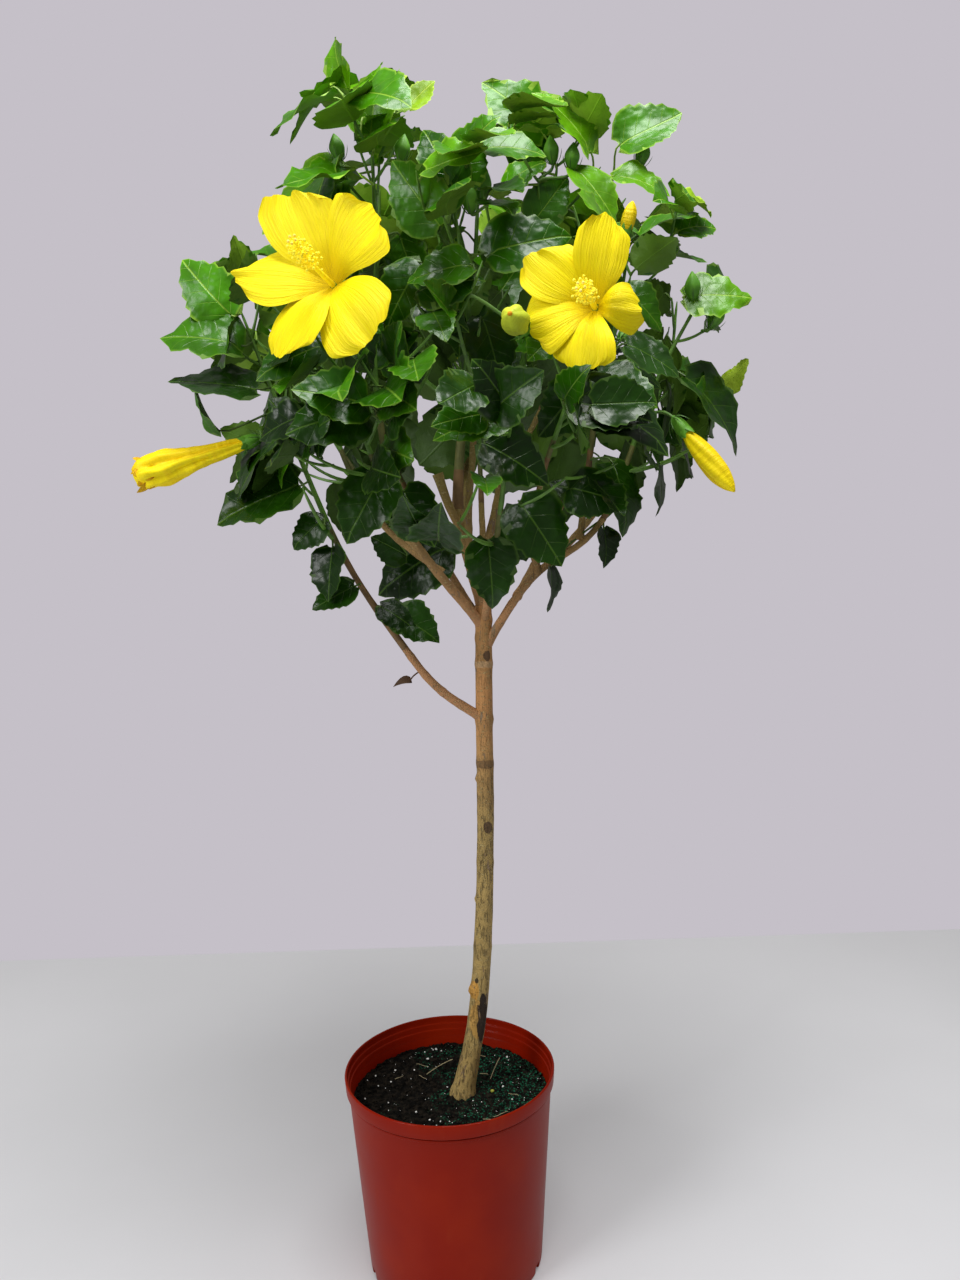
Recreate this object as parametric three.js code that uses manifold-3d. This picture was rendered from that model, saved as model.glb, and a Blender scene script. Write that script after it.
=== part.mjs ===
// Standard hibiscus: a shrub grown as a small tree, with a bare leaning trunk, a round leafy head
// and yellow blossom, planted in a tapered nursery pot.
// Millimetres, +Z up. The origin is the centre of the pot's flat underside.

import * as THREE from 'three';
import { mergeVertices } from 'three/addons/utils/BufferGeometryUtils.js';
import Module from 'manifold-3d';

const wasm = await Module();
wasm.setup();

// ---- Driving dimensions ----------------------------------------------------------------------

const GAP = 0.3; // clearance between neighbouring solids
const GOLDEN_ANGLE = Math.PI * (3 - Math.sqrt(5)); // turn from one leaf or twig to the next

const POT = {
  height: 229,
  rimRadius: 120,
  bandHeight: 16,
  bandRadius: 119,
  wallTopRadius: 116,
  baseRadius: 100,
  wall: 2.4,
  floor: 4,
  ledgeDrops: [8, 15, 23], // ledges inside the mouth, measured down from the rim
  ledgeStep: 1.8,
  lip: 1.4,
  segments: 32,
  drains: 8,
  drainWidth: 12,
  drainHeight: 9,
};

const SOIL = { level: 198, edgeDip: 2.5, edgeWidth: 16, segments: 24 };

const TRUNK = {
  path: [[14, -8, 198.3], [33, -5, 285], [44, -5, 391], [50, -5, 507], [53, -5, 639], [56, -5, 758]],
  radii: [[0, 15.5], [0.03, 12.6], [0.12, 10.6], [0.5, 9.6], [1, 9]], // share of the height, radius
  rings: 14,
  sides: 10,
  // height, radius, and where round the trunk
  knots: [[322, 6, 3.7], [428, 3.6, 3.5], [566, 3.2, 3.2], [703, 3.4, 5.2]],
};

const BOUGH = { sides: 6, rings: 5, flare: 1.25, flareShare: 0.12, taper: 0.62 };
const TWIG = { sides: 3, stemRings: 6, rings: 3, tipRadius: 1.3, rise: 0.32, clear: 17 };
const HEAD = { centre: [46, 0, 1000], radii: [292, 258, 330] }; // the leafy head's ellipsoid

const LEAF = {
  step: 21, // distance along a twig from one leaf to the next
  young: 58,
  grown: 96, // blade lengths at a twig's tip and at its foot
  halfWidth: 0.4, // shares of the blade's length
  thickness: 0.022,
  fold: 0.26,
  droop: 0.2,
  petiole: [10, 30],
  petioleRadius: 1.7,
  outline: [[0.17, 1], [0.6, 0.86]], // share along the blade, share of the half width
  spacing: 6, // least distance between two leaves' surfaces
  wood: 3, // least distance from a leaf to a limb
  // turn round the twig, share of the size, and tilt of each try to find a leaf room
  tries: [[0, 1, 0], [0.5, 1, 0.2], [-0.5, 1, -0.2], [1, 0.95, -0.4], [-1, 0.95, 0.4], [1.6, 0.9, 0],
    [-1.6, 0.9, 0.3], [2.4, 0.85, -0.3], [-2.4, 0.85, 0], [0, 0.75, 0.5], [1.2, 0.7, -0.5],
    [-1.2, 0.7, 0.5]],
  rootRoom: 9, // wood nearer to a leaf's root than this may touch the leaf
};

const BLOOM = { radius: 69, throat: 20, column: 48, petals: 5, ripple: 5, shell: 2.2, stalk: 1.8 };

// Each row is one shoot: it leaves its parent limb as a bare bough, which ends at the last of its
// `bare` points, and goes on from there as the stem of its own mass of foliage.
const SHOOTS = [
  { name: 'low_left', on: 'trunk', bare: 3, foot: 5.3, twigs: 4, reach: 100, turn: 2.6, seed: 11,
    path: [[53, -5, 632], [6, -20, 669], [-29, -35, 717], [-88, -50, 818], [-142, -65, 966],
      [-176, -72, 1066]] },
  { name: 'top_left', on: 'trunk', bare: 3, foot: 5.2, twigs: 4, reach: 95, turn: 0.4, seed: 12,
    path: [[55, -5, 735], [-3, -55, 814], [-27, -71, 856], [-43, -88, 985], [-38, -76, 1120],
      [-40, -55, 1240]] },
  { name: 'centre', on: 'top', bare: 3, foot: 8.2, twigs: 4, reach: 90, turn: 1.2, seed: 13,
    path: [[56, -5, 758.3], [41, -5, 818], [32, -5, 862], [40, 8, 960], [55, 12, 1080], [66, -8, 1205]] },
  { name: 'front', on: 'centre', bare: 3, foot: 4.4, twigs: 3, reach: 85, turn: 4.4, seed: 14,
    path: [[42, -5, 812], [44, -24, 868], [51, -55, 931], [52, -90, 1024], [46, -112, 1090],
      [39, -122, 1150]] },
  { name: 'top_right', on: 'centre', bare: 3, foot: 4.8, twigs: 4, reach: 90, turn: 5.6, seed: 15,
    path: [[51, -5, 784], [72, 0, 860], [86, 0, 930], [112, -8, 1040], [136, -8, 1140], [148, -4, 1216]] },
  { name: 'right', on: 'trunk', bare: 4, foot: 5.2, twigs: 4, reach: 90, turn: 0.2, seed: 16,
    path: [[56, -5, 712], [90, -20, 764], [117, -35, 795], [182, -55, 847], [236, -60, 979],
      [288, -62, 1072]] },
  { name: 'front_right', on: 'right', bare: 3, foot: 4.0, twigs: 4, reach: 85, turn: 5.0, seed: 17,
    path: [[115, -34, 793], [107, -64, 832], [118, -102, 892], [140, -136, 956], [156, -150, 1012]] },
  { name: 'front_left', on: 'top_left', bare: 2, foot: 4.0, twigs: 4, reach: 85, turn: 3.5, seed: 18,
    path: [[-4, -56, 815], [-31, -98, 868], [-56, -130, 945], [-74, -146, 1035]] },
  { name: 'left_mid', on: 'top_left', bare: 2, foot: 3.8, twigs: 4, reach: 80, turn: 2.2, seed: 19,
    path: [[14, -42, 796], [-48, -38, 850], [-88, -36, 930], [-104, -26, 1020], [-100, -16, 1100]] },
  { name: 'right_mid', on: 'right', bare: 2, foot: 3.8, twigs: 4, reach: 80, turn: 5.9, seed: 20,
    path: [[158, -49, 826], [168, -40, 890], [180, -50, 970], [200, -58, 1050], [214, -50, 1120]] },
  { name: 'low_front', on: 'trunk', bare: 2, foot: 4.2, twigs: 4, reach: 85, turn: 3.9, seed: 21,
    path: [[56, -5, 738], [64, -62, 792], [74, -104, 850], [80, -136, 905], [76, -156, 965]] },
  { name: 'back_left', on: 'trunk', bare: 3, foot: 4.8, twigs: 4, reach: 100, turn: 2.2, seed: 22,
    path: [[55, -5, 734], [18, 48, 795], [-20, 92, 870], [-62, 136, 960], [-92, 158, 1062]] },
  { name: 'back', on: 'trunk', bare: 3, foot: 4.8, twigs: 4, reach: 100, turn: 1.6, seed: 23,
    path: [[56, -5, 712], [58, 50, 795], [58, 100, 870], [58, 146, 970], [58, 168, 1082]] },
  { name: 'back_right', on: 'right', bare: 3, foot: 4.4, twigs: 4, reach: 100, turn: 0.8, seed: 24,
    path: [[92, -22, 767], [118, 32, 806], [150, 84, 862], [192, 118, 950], [216, 132, 1058]] },
  { name: 'back_top', on: 'centre', bare: 3, foot: 4.2, twigs: 4, reach: 90, turn: 1.9, seed: 25,
    path: [[37, -5, 840], [42, 40, 905], [46, 74, 980], [30, 92, 1090], [16, 84, 1196]] },
  { name: 'side_right', on: 'right', bare: 2, foot: 3.8, twigs: 4, reach: 85, turn: 0.3, seed: 26,
    path: [[136, -42, 810], [190, 8, 866], [232, 36, 932], [270, 48, 1008], [280, 42, 1082]] },
  { name: 'side_left', on: 'back_left', bare: 2, foot: 3.8, twigs: 4, reach: 85, turn: 2.7, seed: 27,
    path: [[6, 62, 818], [-48, 62, 866], [-98, 66, 930], [-134, 70, 1008], [-142, 60, 1084]] },
  { name: 'top_outer', on: 'top_right', bare: 2, foot: 3.6, twigs: 4, reach: 85, turn: 0.9, seed: 28,
    path: [[80, 0, 895], [126, 40, 968], [160, 56, 1060], [186, 44, 1140], [212, 22, 1216]] },
];

// The cut end of the old leader: a bare stub beside the head's middle.
const STUB = { on: 'centre', radius: 4.2, path: [[36, -5, 836], [22, -19, 868], [12, -22, 900]] };

// The leaves that set the head's outline: blade's foot, blade's tip, and the way the face looks
// where it isn't up and outwards.
const FACING_FRONT = [0, -1, 0.25];
const OUTLINE_LEAVES = [
  { on: 'top_left', from: [-60, -45, 1276], tip: [-87, -45, 1325], face: [-0.8, -0.5, 0.1] },
  { on: 'top_left', from: [-40, -60, 1228], tip: [-30, -72, 1287], face: FACING_FRONT },
  { on: 'top_left', from: [-62, -60, 1190], tip: [-159, -68, 1163] },
  { on: 'top_left', from: [-3, -40, 1262], tip: [24, -40, 1288] },
  { on: 'front', from: [42, -136, 1148], tip: [16, -146, 1204], face: FACING_FRONT },
  { on: 'front', from: [27, -130, 1120], tip: [-19, -138, 1177], face: [-0.7, -0.6, 0.4] },
  { on: 'centre', from: [42, -30, 1214], tip: [84, -52, 1250] },
  { on: 'top_right', from: [134, -24, 1236], tip: [80, -36, 1296], face: [-0.5, -0.5, 0.6] },
  { on: 'top_right', from: [180, -30, 1216], tip: [140, -44, 1284], face: [0.5, -0.7, 0.4] },
  { on: 'top_outer', from: [214, 6, 1236], tip: [280, 0, 1264] },
  { on: 'top_outer', from: [204, -12, 1198], tip: [262, -26, 1190] },
  { on: 'right_mid', from: [226, -60, 1106], tip: [289, -66, 1106] },
  { on: 'right', from: [262, -84, 1060], tip: [326, -96, 1060], face: [0.2, -0.9, 0.5] },
  { on: 'right', from: [262, -78, 985], tip: [332, -84, 924] },
  { on: 'low_left', from: [-182, -78, 1056], tip: [-234, -84, 1112] },
  { on: 'low_left', from: [-172, -84, 1026], tip: [-249, -92, 1050] },
  { on: 'low_left', from: [-160, -86, 984], tip: [-244, -96, 1000], face: [-0.3, -0.8, 0.5] },
  { on: 'low_left', from: [-203, -70, 946], tip: [-240, -74, 990], face: [-0.5, -0.3, 0.8] },
  { on: 'low_left', from: [-125, -75, 889], tip: [-213, -84, 864] },
  { on: 'low_front', from: [62, -96, 830], tip: [67, -104, 762], face: [0.2, -1, 0.1] },
  { on: 'low_left', from: [-76, -62, 786], tip: [-120, -74, 768] },
  { on: 'low_front', from: [60, -166, 918], tip: [120, -178, 886] },
  { on: 'front', from: [68, -138, 1092], tip: [148, -136, 1112] },
  { on: 'front_left', from: [-36, -122, 896], tip: [-74, -144, 836], face: FACING_FRONT },
  { on: 'front_left', from: [-18, -112, 880], tip: [6, -146, 826], face: FACING_FRONT },
  { on: 'low_front', from: [92, -124, 866], tip: [134, -142, 806], face: FACING_FRONT },
  { on: 'right_mid', from: [190, -68, 904], tip: [210, -100, 838], face: [0.3, -1, 0.3] },
];

// Blossom and buds: the middle of each, the way it faces, and its length where it is closed.
const BLOSSOM = [
  { on: 'front_left', kind: 'open', at: [-77, -188, 1066], face: [-0.38, -0.88, 0.28] },
  { on: 'front_right', kind: 'open', at: [158, -188, 1036], face: [-0.28, -0.95, 0.1] },
  { on: 'back', kind: 'open', at: [66, 212, 1086], face: [0.2, 0.9, 0.35] },
  { on: 'low_left', kind: 'faded', at: [-196, -78, 928], face: [-0.96, -0.08, -0.27], length: 96 },
  { on: 'right', kind: 'furled', at: [266, -104, 916], face: [0.55, -0.3, -0.78], length: 62 },
  { on: 'right_mid', kind: 'furled', at: [196, -112, 1096], face: [0.25, -0.1, 0.96], length: 46 },
  { on: 'front_right', kind: 'furled', at: [96, -176, 1018], face: [-0.3, -0.93, 0.15], length: 34 },
  { on: 'back_right', kind: 'furled', at: [238, 158, 1070], face: [0.5, 0.6, 0.6], length: 44 },
  { on: 'top_left', kind: 'bud', at: [-71, -62, 1206], face: [-0.2, -0.1, 0.97], length: 24 },
  { on: 'top_left', kind: 'bud', at: [-10, -80, 1196], face: [0.2, -0.2, 0.95], length: 24 },
  { on: 'front', kind: 'bud', at: [66, -124, 1144], face: [0.2, -0.2, 0.95], length: 26 },
  { on: 'top_outer', kind: 'bud', at: [236, 10, 1216], face: [0.3, -0.1, 0.95], length: 24 },
  { on: 'top_right', kind: 'bud', at: [158, -44, 1196], face: [0.1, -0.3, 0.95], length: 24 },
  { on: 'right', kind: 'bud', at: [270, -86, 1056], face: [-0.1, -0.3, 0.95], length: 26 },
  { on: 'right', kind: 'bud', at: [288, -78, 1030], face: [0.5, -0.2, 0.84], length: 26 },
  { on: 'side_left', kind: 'bud', at: [-160, 64, 1090], face: [-0.4, 0.2, 0.9], length: 26 },
  { on: 'back_top', kind: 'bud', at: [6, 112, 1200], face: [-0.2, 0.4, 0.9], length: 24 },
  { on: 'back_left', kind: 'bud', at: [-106, 176, 1066], face: [-0.4, 0.5, 0.8], length: 26 },
];

const FINISH = {
  pot: { color: '#8e3420', roughness: 0.42, metalness: 0 },
  soil: { color: '#1c1f1a', roughness: 0.95, metalness: 0 },
  bark: { color: '#8f7a52', roughness: 0.85, metalness: 0 },
  youngBark: { color: '#8a6440', roughness: 0.8, metalness: 0 },
  foliage: { color: '#2f5f22', roughness: 0.45, metalness: 0 },
};

// ---- Small helpers ---------------------------------------------------------------------------

const UP = new THREE.Vector3(0, 0, 1);
const vec = (point) => new THREE.Vector3(...point);
const mix = (a, b, share) => a + (b - a) * share;

/** A seeded random number source (mulberry32). */
function seeded(seed) {
  let state = seed >>> 0;
  return () => {
    state = (state + 0x6d2b79f5) >>> 0;
    let value = Math.imul(state ^ (state >>> 15), 1 | state);
    value = (value + Math.imul(value ^ (value >>> 7), 61 | value)) ^ value;
    return ((value ^ (value >>> 14)) >>> 0) / 4294967296;
  };
}

/** Reads a table of [share, value] rows at a share, with straight stretches between rows. */
function tableValue(rows, share) {
  for (let i = 1; i < rows.length; i += 1) {
    if (share <= rows[i][0]) {
      return mix(rows[i - 1][1], rows[i][1], (share - rows[i - 1][0]) / (rows[i][0] - rows[i - 1][0]));
    }
  }
  return rows[rows.length - 1][1];
}

function meshData(positions, triangles) {
  const geometry = new THREE.BufferGeometry();
  geometry.setAttribute('position', new THREE.Float32BufferAttribute(positions, 3));
  geometry.setIndex(triangles);
  return geometry;
}

function toSolid(geometry) {
  const bare = geometry.clone();
  bare.deleteAttribute('normal');
  bare.deleteAttribute('uv');
  const merged = mergeVertices(bare, 1e-4);
  return new wasm.Manifold(new wasm.Mesh({
    numProp: 3,
    vertProperties: new Float32Array(merged.attributes.position.array),
    triVerts: new Uint32Array(merged.index.array),
  }));
}

function toGeometry(solid) {
  const mesh = solid.getMesh();
  return meshData(Array.from(mesh.vertProperties), Array.from(mesh.triVerts));
}

/** Joins solids to one body; a scrap that touches nothing is dropped. */
function fuse(geometries) {
  const joined = wasm.Manifold.union(geometries.map(toSolid));
  const bodies = joined.decompose().sort((a, b) => b.volume() - a.volume());
  return toGeometry(bodies[0]);
}

// ---- Limbs -----------------------------------------------------------------------------------

const curveOf = (path) => new THREE.CatmullRomCurve3(path.map(vec), false, 'catmullrom', 0.5);

/** Rings of a limb: places, directions and radii from one curve parameter to another. */
function ringsAlong(curve, start, end, count, radiusAt) {
  const rings = [];
  for (let i = 0; i < count; i += 1) {
    const share = i / (count - 1);
    const at = mix(start, end, share);
    rings.push({ point: curve.getPoint(at), along: curve.getTangent(at), radius: radiusAt(share) });
  }
  return rings;
}

/** A closed limb through the rings, flat at both ends. */
function limb(rings, sides) {
  const positions = [];
  const triangles = [];
  const across = new THREE.Vector3(1, 0, 0);
  rings.forEach(({ point, along, radius }) => {
    across.addScaledVector(along, -across.dot(along)).normalize();
    const third = new THREE.Vector3().crossVectors(along, across);
    for (let side = 0; side < sides; side += 1) {
      const angle = (2 * Math.PI * side) / sides;
      const spoke = across.clone().multiplyScalar(Math.cos(angle)).addScaledVector(third, Math.sin(angle));
      positions.push(...point.clone().addScaledVector(spoke, radius).toArray());
    }
  });
  for (let ring = 1; ring < rings.length; ring += 1) {
    for (let side = 0; side < sides; side += 1) {
      const a = (ring - 1) * sides + side;
      const b = (ring - 1) * sides + ((side + 1) % sides);
      triangles.push(a, b, b + sides, a, b + sides, a + sides);
    }
  }
  const last = (rings.length - 1) * sides;
  for (let side = 1; side < sides - 1; side += 1) {
    triangles.push(0, side + 1, side, last, last + side, last + side + 1);
  }
  return meshData(positions, triangles);
}

const grown = (rings) => rings.map((ring) => ({ ...ring, radius: ring.radius + GAP }));

/** Balls that fill the limb, for telling how far a point is from its surface. */
function limbBalls(rings, owner) {
  const balls = [];
  for (let i = 1; i < rings.length; i += 1) {
    const length = rings[i].point.distanceTo(rings[i - 1].point);
    const steps = Math.max(1, Math.round(length / 6));
    for (let step = 0; step < steps; step += 1) {
      const share = step / steps;
      balls.push({
        centre: rings[i - 1].point.clone().lerp(rings[i].point, share),
        radius: mix(rings[i - 1].radius, rings[i].radius, share),
        owner,
      });
    }
  }
  return balls;
}

// ---- Pot, soil and trunk ---------------------------------------------------------------------

/** The pot: one turned shell with a rim band, ledges inside its mouth and drains round its foot. */
function potGeometry() {
  const { height, rimRadius, bandHeight, bandRadius, wallTopRadius, baseRadius, wall, floor } = POT;
  const bandFoot = height - bandHeight;
  const wallRadius = (z) => mix(baseRadius, wallTopRadius, z / bandFoot);
  const profile = [[0, 0], [baseRadius - 2, 0], [wallRadius(2), 2], [wallTopRadius, bandFoot],
    [bandRadius, bandFoot], [rimRadius, height - POT.lip], [rimRadius - POT.lip, height]];
  let inner = rimRadius - 2 * POT.lip;
  profile.push([inner, height - POT.lip]);
  POT.ledgeDrops.forEach((drop, index) => {
    profile.push([inner, height - drop]);
    inner = index === 2 ? wallRadius(height - drop) - wall : inner - POT.ledgeStep;
    profile.push([inner, height - drop - 1]);
  });
  profile.push([wallRadius(floor) - wall, floor], [0, floor]);
  const shell = new THREE.LatheGeometry(profile.map(([r, z]) => new THREE.Vector2(r, z)), POT.segments);
  shell.rotateX(Math.PI / 2);
  let solid = toSolid(shell);
  for (let i = 0; i < POT.drains; i += 1) {
    const notch = new THREE.BoxGeometry(14, POT.drainWidth, POT.drainHeight * 2);
    notch.translate(baseRadius, 0, 0);
    notch.rotateZ((2 * Math.PI * (i + 0.5)) / POT.drains);
    solid = solid.subtract(toSolid(notch));
  }
  return toGeometry(solid);
}

function soilGeometry() {
  const bandFoot = POT.height - POT.bandHeight;
  const wallAt = (z) => mix(POT.baseRadius, POT.wallTopRadius, z / bandFoot) - POT.wall;
  const fit = Math.cos(Math.PI / POT.segments); // the pot's inside is a polygon
  const footLevel = POT.floor + GAP;
  const edgeLevel = SOIL.level - SOIL.edgeDip;
  const edgeRadius = wallAt(edgeLevel) * fit - GAP;
  const profile = [[0, footLevel], [wallAt(footLevel) * fit - GAP, footLevel], [edgeRadius, edgeLevel],
    [edgeRadius - SOIL.edgeWidth, SOIL.level], [0, SOIL.level]];
  const soil = new THREE.LatheGeometry(profile.map(([r, z]) => new THREE.Vector2(r, z)), SOIL.segments);
  soil.rotateX(Math.PI / 2);
  return toGeometry(toSolid(soil));
}

function trunkRings() {
  const curve = curveOf(TRUNK.path);
  return ringsAlong(curve, 0, 1, TRUNK.rings, (share) => tableValue(TRUNK.radii, share))
    .map((ring) => ({ ...ring, along: UP }));
}

function trunkGeometry(rings) {
  const curve = curveOf(TRUNK.path);
  const { z: foot } = curve.getPoint(0);
  const { z: top } = curve.getPoint(1);
  const knots = TRUNK.knots.map(([height, radius, angle]) => {
    const share = (height - foot) / (top - foot);
    const reach = tableValue(TRUNK.radii, share) - 0.3 * radius;
    const offBy = (ring) => Math.abs(ring.point.z - height);
    const axis = rings.reduce((a, b) => (offBy(b) < offBy(a) ? b : a));
    const knot = new THREE.OctahedronGeometry(radius);
    knot.translate(axis.point.x + Math.cos(angle) * reach, axis.point.y + Math.sin(angle) * reach, height);
    return knot;
  });
  return fuse([limb(rings, TRUNK.sides), ...knots]);
}

// ---- Boughs and twigs ------------------------------------------------------------------------

const limbs = {}; // the rings of every bare limb by its name
const massOf = {}; // the twigs, leaves and blossom of every mass by its name
const woodBalls = [];

/** The bare part of a shoot, cut clear of the limb it grows on. */
function layBough(shoot) {
  const curve = curveOf(shoot.path);
  const cut = (shoot.bare - 1) / (shoot.path.length - 1);
  const onTop = shoot.on === 'top';
  const flare = onTop ? 1 : BOUGH.flare;
  const tip = Math.max(TWIG.tipRadius + 1, shoot.foot * (1 - BOUGH.taper * cut));
  const radiusAt = (share) => mix(shoot.foot, tip, share)
    * mix(flare, 1, Math.min(1, share / BOUGH.flareShare));
  const rings = ringsAlong(curve, 0, cut, BOUGH.rings, radiusAt);
  if (onTop) rings[0].along = UP;
  limbs[shoot.name] = { rings, parent: onTop ? null : shoot.on, curve, cut, tip };
  woodBalls.push(...limbBalls(rings, shoot.name));
}

function boughGeometry(name) {
  const { rings, parent } = limbs[name];
  const solid = toSolid(limb(rings, BOUGH.sides));
  if (!parent) return toGeometry(solid);
  const sides = parent === 'trunk' ? TRUNK.sides : BOUGH.sides;
  const seat = toSolid(limb(grown(limbs[parent].rings), sides));
  const bodies = solid.subtract(seat).decompose().sort((a, b) => b.volume() - a.volume());
  return toGeometry(bodies[0]);
}

/** Two directions square to a limb's own, from which turns round it are counted. */
function squareTo(along) {
  const helper = Math.abs(along.y) < 0.9 ? new THREE.Vector3(0, 1, 0) : new THREE.Vector3(1, 0, 0);
  const first = new THREE.Vector3().crossVectors(helper, along).normalize();
  return [first, new THREE.Vector3().crossVectors(along, first)];
}

function turned(along, angle) {
  const [first, second] = squareTo(along);
  return first.multiplyScalar(Math.cos(angle)).addScaledVector(second, Math.sin(angle));
}

const outwards = (point) => point.clone().sub(vec(HEAD.centre)).divide(vec(HEAD.radii)).normalize();

function inHead(point, slack) {
  return point.clone().sub(vec(HEAD.centre)).divide(vec(HEAD.radii)).length() < slack;
}

/** The stem of a mass and the side twigs that its seeded rule puts on it. */
function growTwigs(shoot) {
  const { curve, cut, tip } = limbs[shoot.name];
  const random = seeded(shoot.seed);
  const stem = ringsAlong(curve, cut, 1, TWIG.stemRings, (share) => mix(tip, TWIG.tipRadius, share));
  stem[0].point.addScaledVector(stem[0].along, GAP);
  const axes = [stem];
  for (let i = 0; i < shoot.twigs; i += 1) {
    const share = 0.1 + (0.72 * (i + 0.5)) / shoot.twigs;
    const at = mix(cut, 1, share);
    const foot = curve.getPoint(at);
    const along = curve.getTangent(at);
    const side = turned(along, shoot.turn + i * GOLDEN_ANGLE);
    const length = shoot.reach * (1 - 0.35 * share) * (0.85 + 0.3 * random());
    const heading = side.multiplyScalar(0.8).addScaledVector(along, 0.55)
      .addScaledVector(outwards(foot), 0.35).normalize();
    const radius = mix(tip, TWIG.tipRadius, share) * 0.8;
    const rings = [];
    for (let ring = 0; ring < TWIG.rings; ring += 1) {
      const s = ring / (TWIG.rings - 1);
      const point = foot.clone().addScaledVector(heading, length * s)
        .addScaledVector(UP, TWIG.rise * length * s * s);
      const heads = heading.clone().addScaledVector(UP, 2 * TWIG.rise * s).normalize();
      rings.push({ point, along: heads, radius: Math.max(mix(radius, TWIG.tipRadius, s), 1) });
    }
    const free = rings.slice(1).every(({ point }) => inHead(point, 0.9)
      && woodBalls.every((ball) => ball.owner === shoot.name
        || ball.centre.distanceTo(point) > ball.radius + TWIG.clear));
    if (free) axes.push(rings);
  }
  massOf[shoot.name] = { axes, leaves: [], blossom: [] };
  axes.forEach((rings) => woodBalls.push(...limbBalls(rings, shoot.name)));
}

// ---- Leaves ----------------------------------------------------------------------------------

/** A leaf's frame: its stalk's foot, its blade's foot, and the blade's three directions. */
function leafFrame(stalkFoot, bladeFoot, along, face, length) {
  const forward = along.clone().normalize();
  const normal = face.clone().addScaledVector(forward, -face.dot(forward)).normalize();
  const across = new THREE.Vector3().crossVectors(normal, forward);
  return { stalkFoot, bladeFoot, forward, normal, across, length };
}

/** A point of the blade: share along it, share across it, and height over its face. */
function onBlade(leaf, u, v, height = 0) {
  const { length, forward, across, normal, bladeFoot } = leaf;
  const lift = LEAF.fold * Math.abs(v) * LEAF.halfWidth - LEAF.droop * u * u;
  return bladeFoot.clone().addScaledVector(forward, u * length)
    .addScaledVector(across, v * LEAF.halfWidth * length)
    .addScaledVector(normal, lift * length + height);
}

/** A leaf as one closed solid: a three-sided stalk that opens into a folded, drooping wedge. */
function leafGeometry(leaf) {
  const { across, normal } = leaf;
  const depth = Math.max(LEAF.petioleRadius, LEAF.thickness * leaf.length);
  const corners = (centre) => [[1, 0], [-1, 0], [0, -1]].map(([side, drop]) => centre.clone()
    .addScaledVector(across, side * LEAF.petioleRadius).addScaledVector(normal, drop * depth));
  const left = LEAF.outline.map(([u, v]) => onBlade(leaf, u, v));
  const right = LEAF.outline.map(([u, v]) => onBlade(leaf, u, -v));
  const points = [...corners(leaf.stalkFoot), ...corners(leaf.bladeFoot), onBlade(leaf, 1, 0),
    ...left, ...right];
  const pairs = LEAF.outline.length;
  const tip = 6;
  const triangles = [0, 1, 4, 0, 4, 3, 1, 2, 5, 1, 5, 4, 2, 0, 3, 2, 3, 5, 0, 2, 1, 3, 4, tip];
  const leftRim = [3, ...left.map((_, i) => 7 + i), tip];
  const rightRim = [4, ...right.map((_, i) => 7 + pairs + i), tip];
  for (let i = 1; i < leftRim.length; i += 1) {
    if (i > 1) triangles.push(3, leftRim[i], leftRim[i - 1], 4, rightRim[i - 1], rightRim[i]);
    triangles.push(5, leftRim[i - 1], leftRim[i], 5, rightRim[i], rightRim[i - 1]);
  }
  return meshData(points.flatMap((point) => point.toArray()), triangles);
}

/** Half the blade's width at a share along it, as a share of its greatest half width. */
const rimAt = (u) => tableValue([[0, 0.1], ...LEAF.outline, [1, 0]], u);

/** Points spread over a leaf's blade and its stalk, away from the stalk's root. */
function leafPoints(leaf) {
  const stalk = [0.4, 0.75].map((share) => leaf.stalkFoot.clone().lerp(leaf.bladeFoot, share));
  const blade = [];
  for (let u = 0; u <= 1.001; u += 0.1) {
    for (let v = -1; v <= 1; v += 0.5) blade.push(onBlade(leaf, u, v * rimAt(u)));
  }
  return [...stalk, ...blade];
}

const placed = []; // the sampled points of all leaves so far
const spaceMarks = []; // points on every mass's twigs, which share the head's space out
const blossomBalls = [];

/** Whether a leaf keeps to its mass's own space and touches no limb, blossom or other leaf. */
function leafFits(leaf, name) {
  const points = leafPoints(leaf);
  const middle = onBlade(leaf, 0.45, 0);
  const near = (other, reach) => other.distanceTo(middle) < reach;
  for (const point of points) {
    if (!inHead(point, 1.02)) return false;
  }
  for (const ball of blossomBalls) {
    if (near(ball.centre, ball.radius + leaf.length)
      && points.some((point) => point.distanceTo(ball.centre) < ball.radius)) return false;
  }
  for (const ball of woodBalls) {
    const reach = ball.radius + LEAF.wood;
    if (near(ball.centre, reach + leaf.length)
      && ball.centre.distanceTo(leaf.stalkFoot) > LEAF.rootRoom
      && points.some((point) => point.distanceTo(ball.centre) < reach + 1.5)) return false;
  }
  for (const other of placed) {
    const close = (point) => other.points.some((rival) => rival.distanceTo(point) < LEAF.spacing);
    if (near(other.middle, (other.length + leaf.length) * 0.75) && points.some(close)) return false;
  }
  return points.every((point) => {
    let own = Infinity;
    let rival = Infinity;
    for (const mark of spaceMarks) {
      const distance = mark.point.distanceTo(point);
      if (mark.owner === name) own = Math.min(own, distance);
      else rival = Math.min(rival, distance);
    }
    return own + 2 < rival;
  });
}

function keepLeaf(leaf, name) {
  massOf[name].leaves.push(leaf);
  placed.push({ points: leafPoints(leaf), middle: onBlade(leaf, 0.45, 0), length: leaf.length });
}

/** The nearest point on a mass's wood, where a chosen leaf or blossom is rooted. */
function nearestWood(name, point) {
  let best = null;
  massOf[name].axes.flatMap((rings) => limbBalls(rings, name)).forEach((ball) => {
    const distance = ball.centre.distanceTo(point);
    if (!best || distance < best.distance) best = { distance, centre: ball.centre };
  });
  return best.centre.clone();
}

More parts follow.
